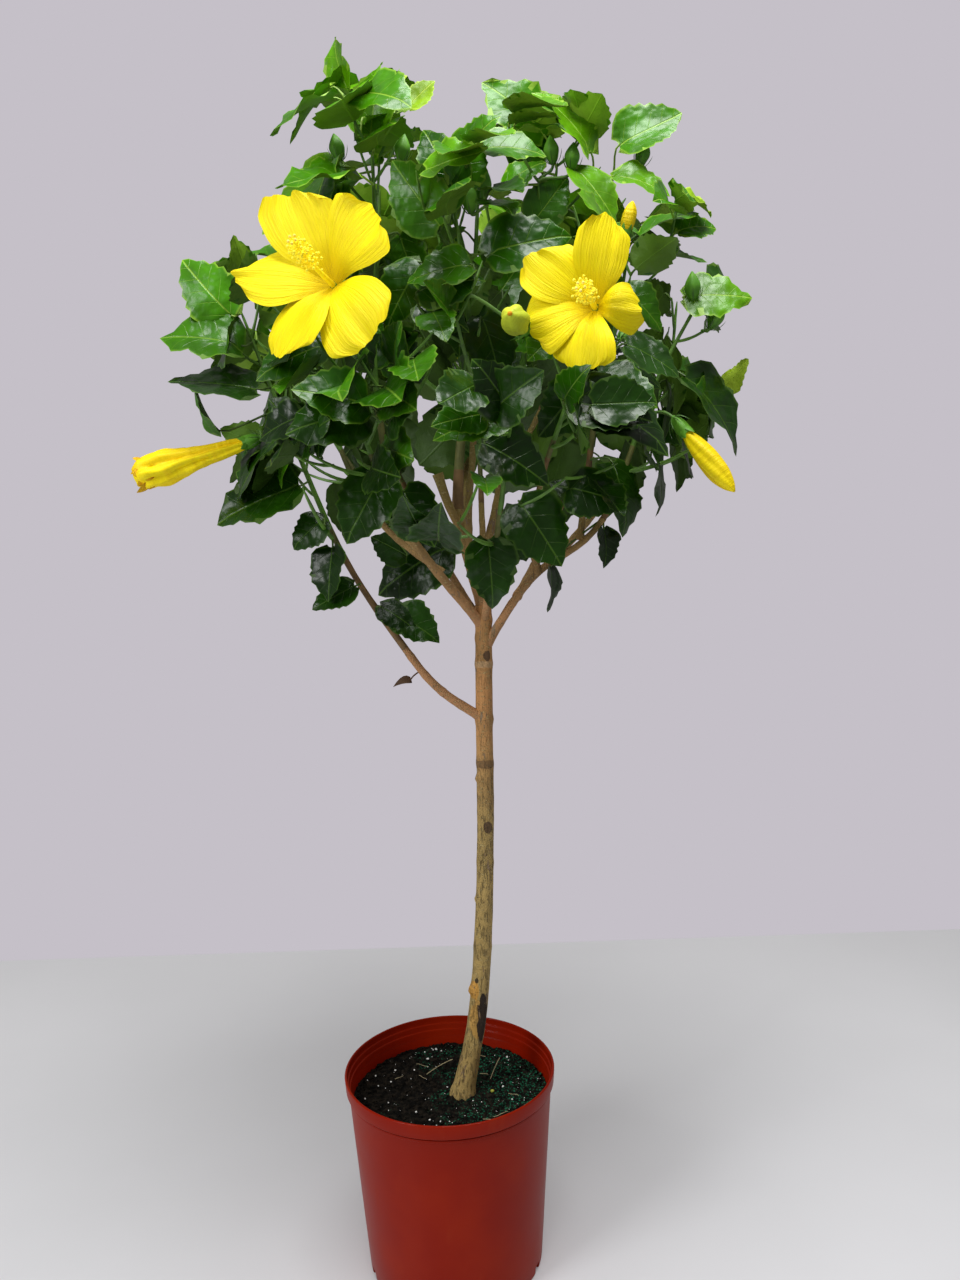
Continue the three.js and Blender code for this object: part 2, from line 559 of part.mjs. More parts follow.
function placeOutlineLeaf({ on, from, tip, face }) {
  const foot = vec(from);
  const along = vec(tip).sub(foot);
  const look = face ? vec(face) : outwards(foot).multiplyScalar(0.7).add(UP);
  const leaf = leafFrame(nearestWood(on, foot), foot, along, look, along.length());
  keepLeaf(leaf, on);
}

/** A leaf of the seeded rule; each try turns it a little further or makes it smaller. */
function tryLeaf(name, ring, age, turn, random) {
  const length = mix(LEAF.young, LEAF.grown, Math.min(1, age * 1.8)) * (0.9 + 0.2 * random());
  const stalk = mix(LEAF.petiole[0], LEAF.petiole[1], Math.min(1, age * 1.8)) * (0.8 + 0.4 * random());
  const dip = mix(0.45, -0.8, Math.min(1, age * 1.6)) + 0.4 * (random() - 0.5);
  const roll = 0.5 * (random() - 0.5);
  for (const [swing, scale, tilt] of LEAF.tries) {
    const side = turned(ring.along, turn + swing);
    const heading = side.clone().addScaledVector(ring.along, mix(1.1, 0.35, Math.min(1, age * 2)))
      .addScaledVector(UP, 0.25).normalize();
    const bladeFoot = ring.point.clone().addScaledVector(heading, stalk * scale);
    const out = outwards(bladeFoot);
    const flat = side.addScaledVector(out, 0.7).setZ(0).normalize();
    const along = flat.clone().multiplyScalar(Math.cos(dip + tilt))
      .addScaledVector(UP, Math.sin(dip + tilt));
    const look = out.clone().addScaledVector(UP, 0.6)
      .addScaledVector(new THREE.Vector3().crossVectors(along, UP), roll);
    const leaf = leafFrame(ring.point, bladeFoot, along, look, length * scale);
    if (leafFits(leaf, name)) {
      keepLeaf(leaf, name);
      return;
    }
  }
}

/** Leaves at even steps down each twig from its tip, each a golden angle on from the last. */
function growLeaves(shoot) {
  massOf[shoot.name].axes.forEach((rings, axisIndex) => {
    const lengths = [0];
    for (let i = 1; i < rings.length; i += 1) {
      lengths.push(lengths[i - 1] + rings[i].point.distanceTo(rings[i - 1].point));
    }
    const total = lengths[lengths.length - 1];
    const count = Math.floor((total * (axisIndex === 0 ? 0.92 : 0.75)) / LEAF.step);
    for (let k = 0; k < count; k += 1) {
      const back = 3 + k * LEAF.step * (k < 3 ? 0.7 : 1);
      const at = total - back;
      const i = Math.max(1, lengths.findIndex((length) => length >= at));
      const share = (at - lengths[i - 1]) / (lengths[i] - lengths[i - 1]);
      const ring = {
        point: rings[i - 1].point.clone().lerp(rings[i].point, share),
        along: rings[i - 1].along.clone().lerp(rings[i].along, share).normalize(),
      };
      const random = seeded(shoot.seed * 1000 + axisIndex * 100 + k);
      tryLeaf(shoot.name, ring, back / 160, shoot.turn + axisIndex * 2 + k * GOLDEN_ANGLE, random);
    }
  });
}

// ---- Blossom ---------------------------------------------------------------------------------

/** A stalk that bends from a twig into the foot of a flower or bud. */
function stalkRings(name, foot, face, radius) {
  const root = nearestWood(name, foot);
  const span = foot.distanceTo(root);
  const curve = new THREE.CubicBezierCurve3(root, root.clone().addScaledVector(UP, span * 0.15)
    .lerp(foot, 0.3), foot.clone().addScaledVector(face, -span * 0.35), foot);
  return ringsAlong(curve, 0, 1, 4, () => radius);
}

/** A solid turned about a line: rows of distance along it and radius there. */
function spindle(base, face, rows, sides) {
  return limb(rows.map(([distance, radius]) => (
    { point: base.clone().addScaledVector(face, distance), along: face, radius })), sides);
}

/** The five petals as one rippled shell, closed at the rim and at the throat. */
function petalShell(centre, face) {
  const [first, second] = squareTo(face);
  const around = BLOOM.petals * 4;
  const ringAt = (share, depth, lobes) => Array.from({ length: around }, (_, i) => {
    const angle = (2 * Math.PI * i) / around;
    const lobe = Math.cos(BLOOM.petals * angle);
    const radius = BLOOM.radius * share * (lobes ? 0.88 + 0.12 * lobe : 1);
    const rise = depth + (lobes ? BLOOM.ripple * lobe : 0);
    return centre.clone().addScaledVector(first, radius * Math.cos(angle))
      .addScaledVector(second, radius * Math.sin(angle)).addScaledVector(face, rise);
  });
  const top = centre.clone().addScaledVector(face, -BLOOM.throat);
  const bottom = centre.clone().addScaledVector(face, -BLOOM.throat - 3 * BLOOM.shell);
  const points = [top, bottom, ...ringAt(0.42, 0, false), ...ringAt(0.44, -BLOOM.shell, false),
    ...ringAt(1, 4, true)];
  const triangles = [];
  for (let i = 0; i < around; i += 1) {
    const j = (i + 1) % around;
    const [inner, under, rim] = [2, 2 + around, 2 + 2 * around];
    triangles.push(0, inner + i, inner + j, 1, under + j, under + i);
    triangles.push(inner + i, rim + i, rim + j, inner + i, rim + j, inner + j);
    triangles.push(under + j, rim + j, rim + i, under + j, rim + i, under + i);
  }
  return meshData(points.flatMap((point) => point.toArray()), triangles);
}

function blossomSolids({ on, kind, at, face, length }) {
  const centre = vec(at);
  const look = vec(face).normalize();
  if (kind === 'open') {
    const base = centre.clone().addScaledVector(look, -BLOOM.throat - 22);
    return [
      limb(stalkRings(on, base.clone().addScaledVector(look, 4), look, BLOOM.stalk), 3),
      spindle(base, look, [[0, 3.5], [7, 8.5], [24, 10]], 5),
      petalShell(centre, look),
      spindle(centre, look, [[-BLOOM.throat - 2, 3.2], [BLOOM.column * 0.5, 2], [BLOOM.column * 0.55, 6],
        [BLOOM.column, 7]], 5),
    ];
  }
  const shapes = {
    faded: [[-6, 3], [4, 8], [22, 9.5], [0.55 * length, 13], [0.82 * length, 17], [length, 15]],
    furled: [[-5, 3], [3, 7.5], [0.4 * length, 9.5], [0.72 * length, 10.5], [length, 2.5]],
    bud: [[-4, 2], [2, 5.2], [0.5 * length, 6], [length, 0.8]],
  };
  const stalk = stalkRings(on, centre.clone().addScaledVector(look, -1), look, BLOOM.stalk - 0.2);
  return [limb(stalk, 3), spindle(centre, look, shapes[kind], kind === 'bud' ? 4 : 5)];
}

/** Balls that leaves stay out of, over the blossom and in front of an open flower. */
function markBlossom({ on, kind, at, face, length }) {
  const centre = vec(at);
  const look = vec(face).normalize();
  const add = (point, radius) => blossomBalls.push({ centre: point, radius });
  if (kind === 'open') {
    const [first, second] = squareTo(look);
    add(centre.clone().addScaledVector(look, 24), 44);
    add(centre.clone().addScaledVector(look, -24), 24);
    for (let i = 0; i < 10; i += 1) {
      const angle = (2 * Math.PI * i) / 10;
      add(centre.clone().addScaledVector(first, Math.cos(angle) * 0.66 * BLOOM.radius)
        .addScaledVector(second, Math.sin(angle) * 0.66 * BLOOM.radius).addScaledVector(look, 8), 27);
    }
  } else {
    const steps = Math.max(2, Math.round(length / 14));
    for (let i = 0; i <= steps; i += 1) {
      add(centre.clone().addScaledVector(look, (length * i) / steps), kind === 'faded' ? 20 : 12);
    }
  }
  spaceMarks.push({ point: centre, owner: on });
}

// ---- Growing the plant -----------------------------------------------------------------------

limbs.trunk = { rings: trunkRings(), parent: null };
woodBalls.push(...limbBalls(limbs.trunk.rings, 'trunk'));
SHOOTS.forEach(layBough);

const stubCurve = curveOf(STUB.path);
limbs.stub = {
  rings: ringsAlong(stubCurve, 0, 1, 4, (share) => STUB.radius * (1 + 0.25 * share)),
  parent: STUB.on,
};
woodBalls.push(...limbBalls(limbs.stub.rings, 'stub'));

SHOOTS.forEach(growTwigs);
BLOSSOM.forEach(markBlossom);
SHOOTS.forEach(({ name }) => massOf[name].axes.forEach((rings) => limbBalls(rings, name)
  .filter((_, i) => i % 3 === 0).forEach((ball) => spaceMarks.push({ point: ball.centre, owner: name }))));
OUTLINE_LEAVES.forEach(placeOutlineLeaf);
SHOOTS.forEach(growLeaves);

function massGeometry(name) {
  const { axes, leaves } = massOf[name];
  const blossom = BLOSSOM.filter((row) => row.on === name).flatMap(blossomSolids);
  return fuse([...axes.map((rings) => limb(rings, TWIG.sides)), ...leaves.map(leafGeometry), ...blossom]);
}

// ---- The assembled plant ---------------------------------------------------------------------

const plant = new THREE.Group();

function addPiece(name, geometry, finish) {
  const mesh = new THREE.Mesh(geometry, new THREE.MeshStandardMaterial(finish));
  mesh.name = name;
  plant.add(mesh);
}

addPiece('pot', potGeometry(), FINISH.pot);
addPiece('soil', soilGeometry(), FINISH.soil);
addPiece('trunk', trunkGeometry(limbs.trunk.rings), FINISH.bark);
addPiece('leader_stub', boughGeometry('stub'), FINISH.youngBark);
SHOOTS.forEach(({ name }) => addPiece(`bough_${name}`, boughGeometry(name), FINISH.youngBark));
SHOOTS.forEach(({ name }) => addPiece(`foliage_${name}`, massGeometry(name), FINISH.foliage));

export default plant;
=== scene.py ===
import math
from collections import namedtuple

import bmesh
import bpy
import numpy as np
from mathutils import Matrix, Vector, noise
from mathutils.kdtree import KDTree


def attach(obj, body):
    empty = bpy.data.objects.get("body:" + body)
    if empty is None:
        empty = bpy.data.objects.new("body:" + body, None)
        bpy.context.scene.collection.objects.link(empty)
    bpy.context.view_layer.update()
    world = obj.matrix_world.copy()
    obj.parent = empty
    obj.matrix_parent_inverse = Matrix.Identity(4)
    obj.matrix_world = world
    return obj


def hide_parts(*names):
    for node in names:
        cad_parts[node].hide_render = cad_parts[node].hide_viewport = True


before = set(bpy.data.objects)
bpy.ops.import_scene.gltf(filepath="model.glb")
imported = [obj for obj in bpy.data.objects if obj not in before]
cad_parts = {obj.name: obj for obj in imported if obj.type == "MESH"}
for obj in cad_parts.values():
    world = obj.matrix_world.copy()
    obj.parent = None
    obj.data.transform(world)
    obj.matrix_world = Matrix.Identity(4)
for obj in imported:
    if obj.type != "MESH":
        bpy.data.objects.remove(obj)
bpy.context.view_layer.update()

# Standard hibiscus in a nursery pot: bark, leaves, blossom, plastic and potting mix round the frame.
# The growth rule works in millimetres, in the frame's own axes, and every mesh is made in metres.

MM = 0.001
UP = np.array((0.0, 0.0, 1.0))
GAP = 0.3  # between a bough's tip and the stem that goes on from it
GOLDEN_ANGLE = math.pi * (3 - math.sqrt(5))  # turn from one leaf or twig to the next
WORD = 0xFFFFFFFF  # the seeded draws work in 32 bits

# ---- Driving dimensions -----------------------------------------------------------------------

POT_HEIGHT, RIM_RADIUS = 229, 120
BAND_HEIGHT, BAND_RADIUS = 16, 119
WALL_TOP_RADIUS, BASE_RADIUS = 116, 100
WALL, POT_FLOOR, LIP = 2.4, 4, 1.4
LEDGE_DROPS, LEDGE_STEP = (8, 15, 23), 1.8
DRAINS, DRAIN_WIDTH, DRAIN_HEIGHT = 8, 12, 9

SOIL_LEVEL, SOIL_DIP, SOIL_EDGE = 198, 2.5, 16

TRUNK_PATH = ((14, -8, 198.3), (33, -5, 285), (44, -5, 391), (50, -5, 507), (53, -5, 639), (56, -5, 758))
TRUNK_RADII = ((0, 15.5), (0.03, 12.6), (0.12, 10.6), (0.5, 9.6), (1, 9))
KNOTS = ((322, 6, 3.7), (428, 3.6, 3.5), (566, 3.2, 3.2), (703, 3.4, 5.2))  # height, radius, angle

HEAD_CENTRE = np.array((46.0, 0.0, 1000.0))
HEAD_RADII = np.array((292.0, 258.0, 330.0))
TWIG_REACH, FINE_REACH, LEAF_REACH = 0.9, 0.94, 1.02  # shares of those radii that each keeps within
BALL_STEP = 6  # between the balls that stand for a limb

BOUGH_RINGS, FLARE, FLARE_SHARE = 5, 1.25, 0.12
TWIG_RINGS, STEM_RINGS, TWIG_TIP, TWIG_RISE, TWIG_CLEAR = 3, 6, 1.3, 0.32, 17
FIRST_TWIG, TWIG_SPAN, TWIG_SHORTER = 0.1, 0.72, 0.35  # shares of the stem, and of the reach at its tip

LEAF_STEP, LEAF_YOUNG, LEAF_GROWN = 21, 58, 96
HALF_WIDTH, FOLD, DROOP = 0.4, 0.26, 0.2  # shares of a blade's length
STALK_YOUNG, STALK_GROWN = 10, 30
SPACING, WOOD_CLEAR, ROOT_FREE = 6, 4.5, 9  # from leaves, from wood, and the wood round its own root
AGE_SPAN, STEM_LEAFY, TWIG_LEAFY = 160, 0.92, 0.75  # a leaf's way to full age; shares that bear leaves
OUTLINE = ((0, 0.1), (0.17, 1), (0.6, 0.86), (1, 0))  # share along the blade, share of its half width
TRIES = ((0, 1, 0), (0.5, 1, 0.2), (-0.5, 1, -0.2), (1, 0.95, -0.4), (-1, 0.95, 0.4), (1.6, 0.9, 0),
         (-1.6, 0.9, 0.3), (2.4, 0.85, -0.3), (-2.4, 0.85, 0), (0, 0.75, 0.5), (1.2, 0.7, -0.5),
         (-1.2, 0.7, 0.5))  # turn round the twig, share of the size, and tilt of each try

BLOOM_RADIUS, THROAT, COLUMN = 69, 20, 48
FACE_ROOM, THROAT_ROOM, RIM_ROOM, FADED_ROOM, BUD_ROOM = 44, 24, 27, 20, 12  # kept clear of leaves

Shoot = namedtuple("Shoot", "name on bare foot twigs reach turn seed path")
SHOOTS = [Shoot(*row) for row in (
    ("low_left", "trunk", 3, 5.3, 4, 100, 2.6, 11, ((53, -5, 632), (6, -20, 669), (-29, -35, 717),
     (-88, -50, 818), (-142, -65, 966), (-176, -72, 1066))),
    ("top_left", "trunk", 3, 5.2, 4, 95, 0.4, 12, ((55, -5, 735), (-3, -55, 814), (-27, -71, 856),
     (-43, -88, 985), (-38, -76, 1120), (-40, -55, 1240))),
    ("centre", "top", 3, 8.2, 4, 90, 1.2, 13, ((56, -5, 758.3), (41, -5, 818), (32, -5, 862),
     (40, 8, 960), (55, 12, 1080), (66, -8, 1205))),
    ("front", "centre", 3, 4.4, 3, 85, 4.4, 14, ((42, -5, 812), (44, -24, 868), (51, -55, 931),
     (52, -90, 1024), (46, -112, 1090), (39, -122, 1150))),
    ("top_right", "centre", 3, 4.8, 4, 90, 5.6, 15, ((51, -5, 784), (72, 0, 860), (86, 0, 930),
     (112, -8, 1040), (136, -8, 1140), (148, -4, 1216))),
    ("right", "trunk", 4, 5.2, 4, 90, 0.2, 16, ((56, -5, 712), (90, -20, 764), (117, -35, 795),
     (182, -55, 847), (236, -60, 979), (288, -62, 1072))),
    ("front_right", "right", 3, 4.0, 4, 85, 5.0, 17, ((115, -34, 793), (107, -64, 832),
     (118, -102, 892), (140, -136, 956), (156, -150, 1012))),
    ("front_left", "top_left", 2, 4.0, 4, 85, 3.5, 18, ((-4, -56, 815), (-31, -98, 868),
     (-56, -130, 945), (-74, -146, 1035))),
    ("left_mid", "top_left", 2, 3.8, 4, 80, 2.2, 19, ((14, -42, 796), (-48, -38, 850),
     (-88, -36, 930), (-104, -26, 1020), (-100, -16, 1100))),
    ("right_mid", "right", 2, 3.8, 4, 80, 5.9, 20, ((158, -49, 826), (168, -40, 890),
     (180, -50, 970), (200, -58, 1050), (214, -50, 1120))),
    ("low_front", "trunk", 2, 4.2, 4, 85, 3.9, 21, ((56, -5, 738), (64, -62, 792), (74, -104, 850),
     (80, -136, 905), (76, -156, 965))),
    ("back_left", "trunk", 3, 4.8, 4, 100, 2.2, 22, ((55, -5, 734), (18, 48, 795), (-20, 92, 870),
     (-62, 136, 960), (-92, 158, 1062))),
    ("back", "trunk", 3, 4.8, 4, 100, 1.6, 23, ((56, -5, 712), (58, 50, 795), (58, 100, 870),
     (58, 146, 970), (58, 168, 1082))),
    ("back_right", "right", 3, 4.4, 4, 100, 0.8, 24, ((92, -22, 767), (118, 32, 806),
     (150, 84, 862), (192, 118, 950), (216, 132, 1058))),
    ("back_top", "centre", 3, 4.2, 4, 90, 1.9, 25, ((37, -5, 840), (42, 40, 905), (46, 74, 980),
     (30, 92, 1090), (16, 84, 1196))),
    ("side_right", "right", 2, 3.8, 4, 85, 0.3, 26, ((136, -42, 810), (190, 8, 866),
     (232, 36, 932), (270, 48, 1008), (280, 42, 1082))),
    ("side_left", "back_left", 2, 3.8, 4, 85, 2.7, 27, ((6, 62, 818), (-48, 62, 866),
     (-98, 66, 930), (-134, 70, 1008), (-142, 60, 1084))),
    ("top_outer", "top_right", 2, 3.6, 4, 85, 0.9, 28, ((80, 0, 895), (126, 40, 968),
     (160, 56, 1060), (186, 44, 1140), (212, 22, 1216))),
)]
STUB_PATH, STUB_RADIUS, STUB_SWELL = ((36, -5, 836), (22, -19, 868), (12, -22, 900)), 4.2, 0.25
FOLIAGE_NODES = ["foliage_" + shoot.name for shoot in SHOOTS]

# Leaves with a place of their own: the mass, the blade's foot, its tip, and where the face looks.
FRONT = (0, -1, 0.25)
PLACED_LEAVES = (
    ("top_left", (-60, -45, 1276), (-87, -45, 1325), (-0.8, -0.5, 0.1)),
    ("top_left", (-40, -60, 1228), (-30, -72, 1287), FRONT),
    ("top_left", (-62, -60, 1190), (-159, -68, 1163), (-0.1, -0.8, 0.5)),
    ("top_left", (-3, -40, 1262), (24, -40, 1288), (0, -0.9, 0.4)),
    ("front", (42, -136, 1148), (16, -146, 1204), FRONT),
    ("front", (27, -130, 1120), (-19, -138, 1177), (-0.7, -0.6, 0.4)),
    ("centre", (42, -30, 1214), (84, -52, 1250), (0.1, -0.7, 0.7)),
    ("top_right", (134, -24, 1236), (80, -36, 1296), (-0.5, -0.5, 0.6)),
    ("top_right", (180, -30, 1216), (140, -44, 1284), (0.5, -0.7, 0.4)),
    ("top_outer", (214, 6, 1236), (280, 0, 1264), (-0.3, -0.8, 0.5)),
    ("top_outer", (204, -12, 1198), (262, -26, 1190), (0.1, -0.7, 0.6)),
    ("right_mid", (226, -60, 1106), (289, -66, 1106), None),
    ("right", (262, -84, 1060), (326, -96, 1060), (0.2, -0.9, 0.5)),
    ("right", (262, -78, 985), (332, -84, 924), (0.3, -0.8, 0.6)),
    ("low_left", (-182, -78, 1056), (-234, -84, 1112), (-0.5, -0.4, 0.8)),
    ("low_left", (-172, -84, 1026), (-249, -92, 1050), (0.1, -0.5, 0.85)),
    ("low_left", (-160, -86, 984), (-244, -96, 1000), (-0.1, -0.35, 0.95)),
    ("low_left", (-203, -70, 946), (-240, -74, 990), (-0.7, -0.1, 0.7)),
    ("low_left", (-125, -75, 889), (-213, -84, 864), (-0.2, -0.8, 0.6)),
    ("low_front", (62, -96, 830), (67, -104, 762), (0.2, -1, 0.1)),
    ("low_left", (-76, -62, 786), (-120, -74, 768), (-0.2, -0.8, 0.6)),
    ("low_front", (60, -166, 918), (120, -178, 886), (0, -0.8, 0.6)),
    ("front", (68, -138, 1092), (148, -136, 1112), (-0.1, -0.8, 0.6)),
    ("front_left", (-36, -122, 896), (-74, -144, 836), FRONT),
    ("front_left", (-18, -112, 880), (6, -146, 826), FRONT),
    ("low_front", (92, -124, 866), (134, -142, 806), FRONT),
    ("right_mid", (190, -68, 904), (210, -100, 838), (0.3, -1, 0.3)),
)
SMALL_PLACED_LEAVES = (
    ("low_left", (-52, -52, 764), (-12, -60, 742), (0.1, -0.5, 0.9)),
    ("low_left", (-36, -46, 756), (8, -62, 730), (0.2, -0.7, 0.7)),
    ("top_left", (-38, -50, 1273), (-7, -56, 1293), (0, -0.6, 0.8)),
    ("front", (43, -134, 1152), (67, -142, 1195), (0.5, -0.8, 0.2)),
    ("top_right", (105, -14, 1211), (135, -20, 1252), FRONT),
    ("top_right", (91, -50, 1180), (126, -58, 1208), (0, -0.6, 0.8)),
    ("top_right", (118, -40, 1146), (156, -48, 1189), FRONT),
    ("top_outer", (162, -40, 1198), (206, -60, 1147), (0.3, -0.8, 0.4)),
    ("left_mid", (8, -90, 1099), (-32, -110, 1044), (-0.3, -0.8, 0.4)),
    ("front", (47, -124, 1052), (11, -134, 1085), FRONT),
    ("front", (2, -124, 1052), (51, -134, 1030), (0, -0.6, 0.8)),
    ("right_mid", (200, -90, 1068), (241, -100, 1034), FRONT),
    ("left_mid", (17, 0, 823), (-62, -10, 781), (-0.1, -0.9, 0.3)),
    ("low_left", (-102, -78, 856), (-136, -84, 830), FRONT),
    ("right", (174, -60, 860), (136, -80, 888), FRONT),
    ("right", (182, -56, 837), (189, -62, 798), (0.3, -0.8, 0.4)),
    ("low_front", (95, -60, 807), (81, -76, 848), FRONT),
    ("left_mid", (-23, -20, 814), (-59, -30, 837), FRONT),
    ("right", (127, -44, 800), (130, -50, 752), (0.9, -0.4, 0.1)),
    ("back_left", (-14, 66, 836), (-52, 54, 766), (-0.2, -0.9, 0.3)),
    ("low_left", (-96, -66, 826), (-104, -84, 774), (-0.2, -1, 0.2)),
    ("back", (71, 150, 1100), (116, 152, 1158), (0, -1, 0.1)),
    ("back", (61, 146, 994), (14, 150, 1058), (0, -1, 0.1)),
    ("back", (88, 140, 1112), (79, 146, 1055), (0.2, -1, 0.1)),
    ("back", (74, 160, 1020), (118, 176, 1084), (-0.1, -1, 0.1)),
    ("back", (60, 160, 1090), (28, 180, 1150), (0.1, -1, 0.1)),
    ("back", (66, 164, 1100), (106, 182, 1158), (0, -1, 0.1)),
)

Bloom = namedtuple("Bloom", "on kind at face length")
BLOSSOM = [Bloom(*row) for row in (
    ("front_left", "open", (-77, -188, 1066), (-0.38, -0.88, 0.28), 0),
    ("front_right", "open", (158, -188, 1036), (-0.28, -0.95, 0.1), 0),
    ("back", "open", (66, 212, 1086), (0.2, 0.9, 0.35), 0),
    ("low_left", "faded", (-196, -78, 928), (-0.96, -0.08, -0.27), 96),
    ("right", "furled", (266, -104, 916), (0.55, -0.3, -0.78), 62),
    ("right_mid", "furled", (196, -112, 1096), (0.25, -0.1, 0.96), 46),
    ("front_right", "furled", (96, -176, 1018), (-0.3, -0.93, 0.15), 34),
    ("back_right", "furled", (238, 158, 1070), (0.5, 0.6, 0.6), 44),
    ("top_left", "bud", (-71, -62, 1206), (-0.2, -0.1, 0.97), 24),
    ("top_left", "bud", (-10, -80, 1196), (0.2, -0.2, 0.95), 24),
    ("front", "bud", (66, -124, 1144), (0.2, -0.2, 0.95), 26),
    ("top_outer", "bud", (236, 10, 1216), (0.3, -0.1, 0.95), 24),
    ("top_right", "bud", (158, -44, 1196), (0.1, -0.3, 0.95), 24),
    ("right", "bud", (270, -86, 1056), (-0.1, -0.3, 0.95), 26),
    ("right", "bud", (288, -78, 1030), (0.5, -0.2, 0.84), 26),
    ("side_left", "bud", (-160, 64, 1090), (-0.4, 0.2, 0.9), 26),
    ("back_top", "bud", (6, 112, 1200), (-0.2, 0.4, 0.9), 24),
    ("back_left", "bud", (-106, 176, 1066), (-0.4, 0.5, 0.8), 26),
    ("front", "bud", (56, -128, 1132), (-0.1, -0.2, 0.97), 27),
    ("top_right", "bud", (140, -40, 1204), (-0.1, -0.2, 0.97), 25),
)]

# ---- Small helpers ----------------------------------------------------------------------------


def mix(a, b, share):
    return a + (b - a) * share


def unit(vector):
    vector = np.asarray(vector, float)
    return vector / np.linalg.norm(vector)


def table_value(rows, share):
    return float(np.interp(share, [row[0] for row in rows], [row[1] for row in rows]))


def seeded(seed):
    """A seeded source of numbers from 0 to 1 (mulberry32)."""
    state = seed & WORD

    def draw():
        nonlocal state
        state = (state + 0x6D2B79F5) & WORD
        value = ((state ^ (state >> 15)) * (1 | state)) & WORD
        value = ((value + (((value ^ (value >> 7)) * (61 | value)) & WORD)) & WORD) ^ value
        return ((value ^ (value >> 14)) & WORD) / (WORD + 1)

    return draw


def square_to(along):
    """Two directions square to a limb's own, from which turns round it are counted."""
    helper = (0, 1, 0) if abs(along[1]) < 0.9 else (1, 0, 0)
    first = unit(np.cross(helper, along))
    return first, np.cross(along, first)


def turned(along, angle):
    first, second = square_to(along)
    return first * math.cos(angle) + second * math.sin(angle)


def spokes(along, count, start=0.0):
    """Directions evenly round a line."""
    return [turned(along, i * 2 * math.pi / count + start) for i in range(count)]


def outwards(point):
    return unit((point - HEAD_CENTRE) / HEAD_RADII)


def in_head(points, slack):
    return bool(np.all(np.linalg.norm((points - HEAD_CENTRE) / HEAD_RADII, axis=-1) < slack))


class Path:
    """A smooth line through points, from share 0 to share 1."""

    def __init__(self, points):
        points = np.array(points, float)
        before, after = 2 * points[0] - points[1], 2 * points[-1] - points[-2]
        self.knots = np.vstack((before, points, after))

    def at(self, share):
        spans = len(self.knots) - 3
        i = min(int(share * spans), spans - 1)
        w = share * spans - i
        a, b, c, d = self.knots[i:i + 4]
        leave, arrive = (c - a) / 2, (d - b) / 2
        return (b + leave * w + (3 * (c - b) - 2 * leave - arrive) * w * w
                + (2 * (b - c) + leave + arrive) * w ** 3)

    def heading(self, share):
        step = 1e-4
        return unit(self.at(min(1, share + step)) - self.at(max(0, share - step)))


class Limb:
    """A row of rings: their middles, directions and radii."""

    def __init__(self, points, alongs, radii):
        self.points, self.alongs, self.radii = np.array(points), np.array(alongs), np.array(radii)

    def balls(self):
        """Balls that fill the limb."""
        centres, radii = [], []
        for i in range(1, len(self.points)):
            length = np.linalg.norm(self.points[i] - self.points[i - 1])
            steps = max(1, int(length / BALL_STEP + 0.5))
            for step in range(steps):
                centres.append(mix(self.points[i - 1], self.points[i], step / steps))
                radii.append(mix(self.radii[i - 1], self.radii[i], step / steps))
        return np.array(centres), np.array(radii)


def walked(points):
    """The distance walked along a line to each of its points."""
    return np.append(0, np.cumsum(np.linalg.norm(np.diff(points, axis=0), axis=1)))


def limb_on(path, start, end, count, radius_at):
    shares = np.linspace(0, 1, count)
    places = [mix(start, end, share) for share in shares]
    return Limb([path.at(p) for p in places], [path.heading(p) for p in places],
                [radius_at(share) for share in shares])


class Wood:
    """Balls in every limb with their owners, for telling how near a point is to wood."""

    def __init__(self):
        self.centres, self.radii, self.owners = np.zeros((0, 3)), np.zeros(0), np.zeros(0, "U16")

    def add(self, limb, owner):
        centres, radii = limb.balls()
        self.centres = np.vstack((self.centres, centres))
        self.radii = np.append(self.radii, radii)
        self.owners = np.append(self.owners, [owner] * len(radii))

    def clear_of_others(self, points, owner, room):
        """Whether every point keeps that room to the limbs of the other owners."""
        others = self.owners != owner
        apart = np.linalg.norm(points[:, None] - self.centres[others], axis=2)
        return bool(np.all(apart > self.radii[others] + room))


# ---- The growth rule: boughs and twigs --------------------------------------------------------

wood = Wood()
boughs = {}  # the path, cut share, tip radius and rule for the radius of every bough by its name
masses = {}  # the twigs and leaves of every mass by its name


def lay_bough(shoot):
    path = Path(shoot.path)
    cut = (shoot.bare - 1) / (len(shoot.path) - 1)
    flare = 1 if shoot.on == "top" else FLARE
    tip = max(TWIG_TIP + 1, shoot.foot * (1 - 0.62 * cut))

    def radius_at(share):
        return mix(shoot.foot, tip, share) * mix(flare, 1, min(1, share / FLARE_SHARE))

    limb = limb_on(path, 0, cut, BOUGH_RINGS, radius_at)
    boughs[shoot.name] = (path, cut, tip, radius_at)
    wood.add(limb, shoot.name)


def side_twig(foot, heading, length, radius):
    """A twig that leaves its foot along a heading and rises towards its tip."""
    shares = np.linspace(0, 1, TWIG_RINGS)
    points = [foot + heading * length * s + UP * TWIG_RISE * length * s * s for s in shares]
    alongs = [unit(heading + UP * 2 * TWIG_RISE * s) for s in shares]
    return Limb(points, alongs, [max(mix(radius, TWIG_TIP, s), 1) for s in shares])


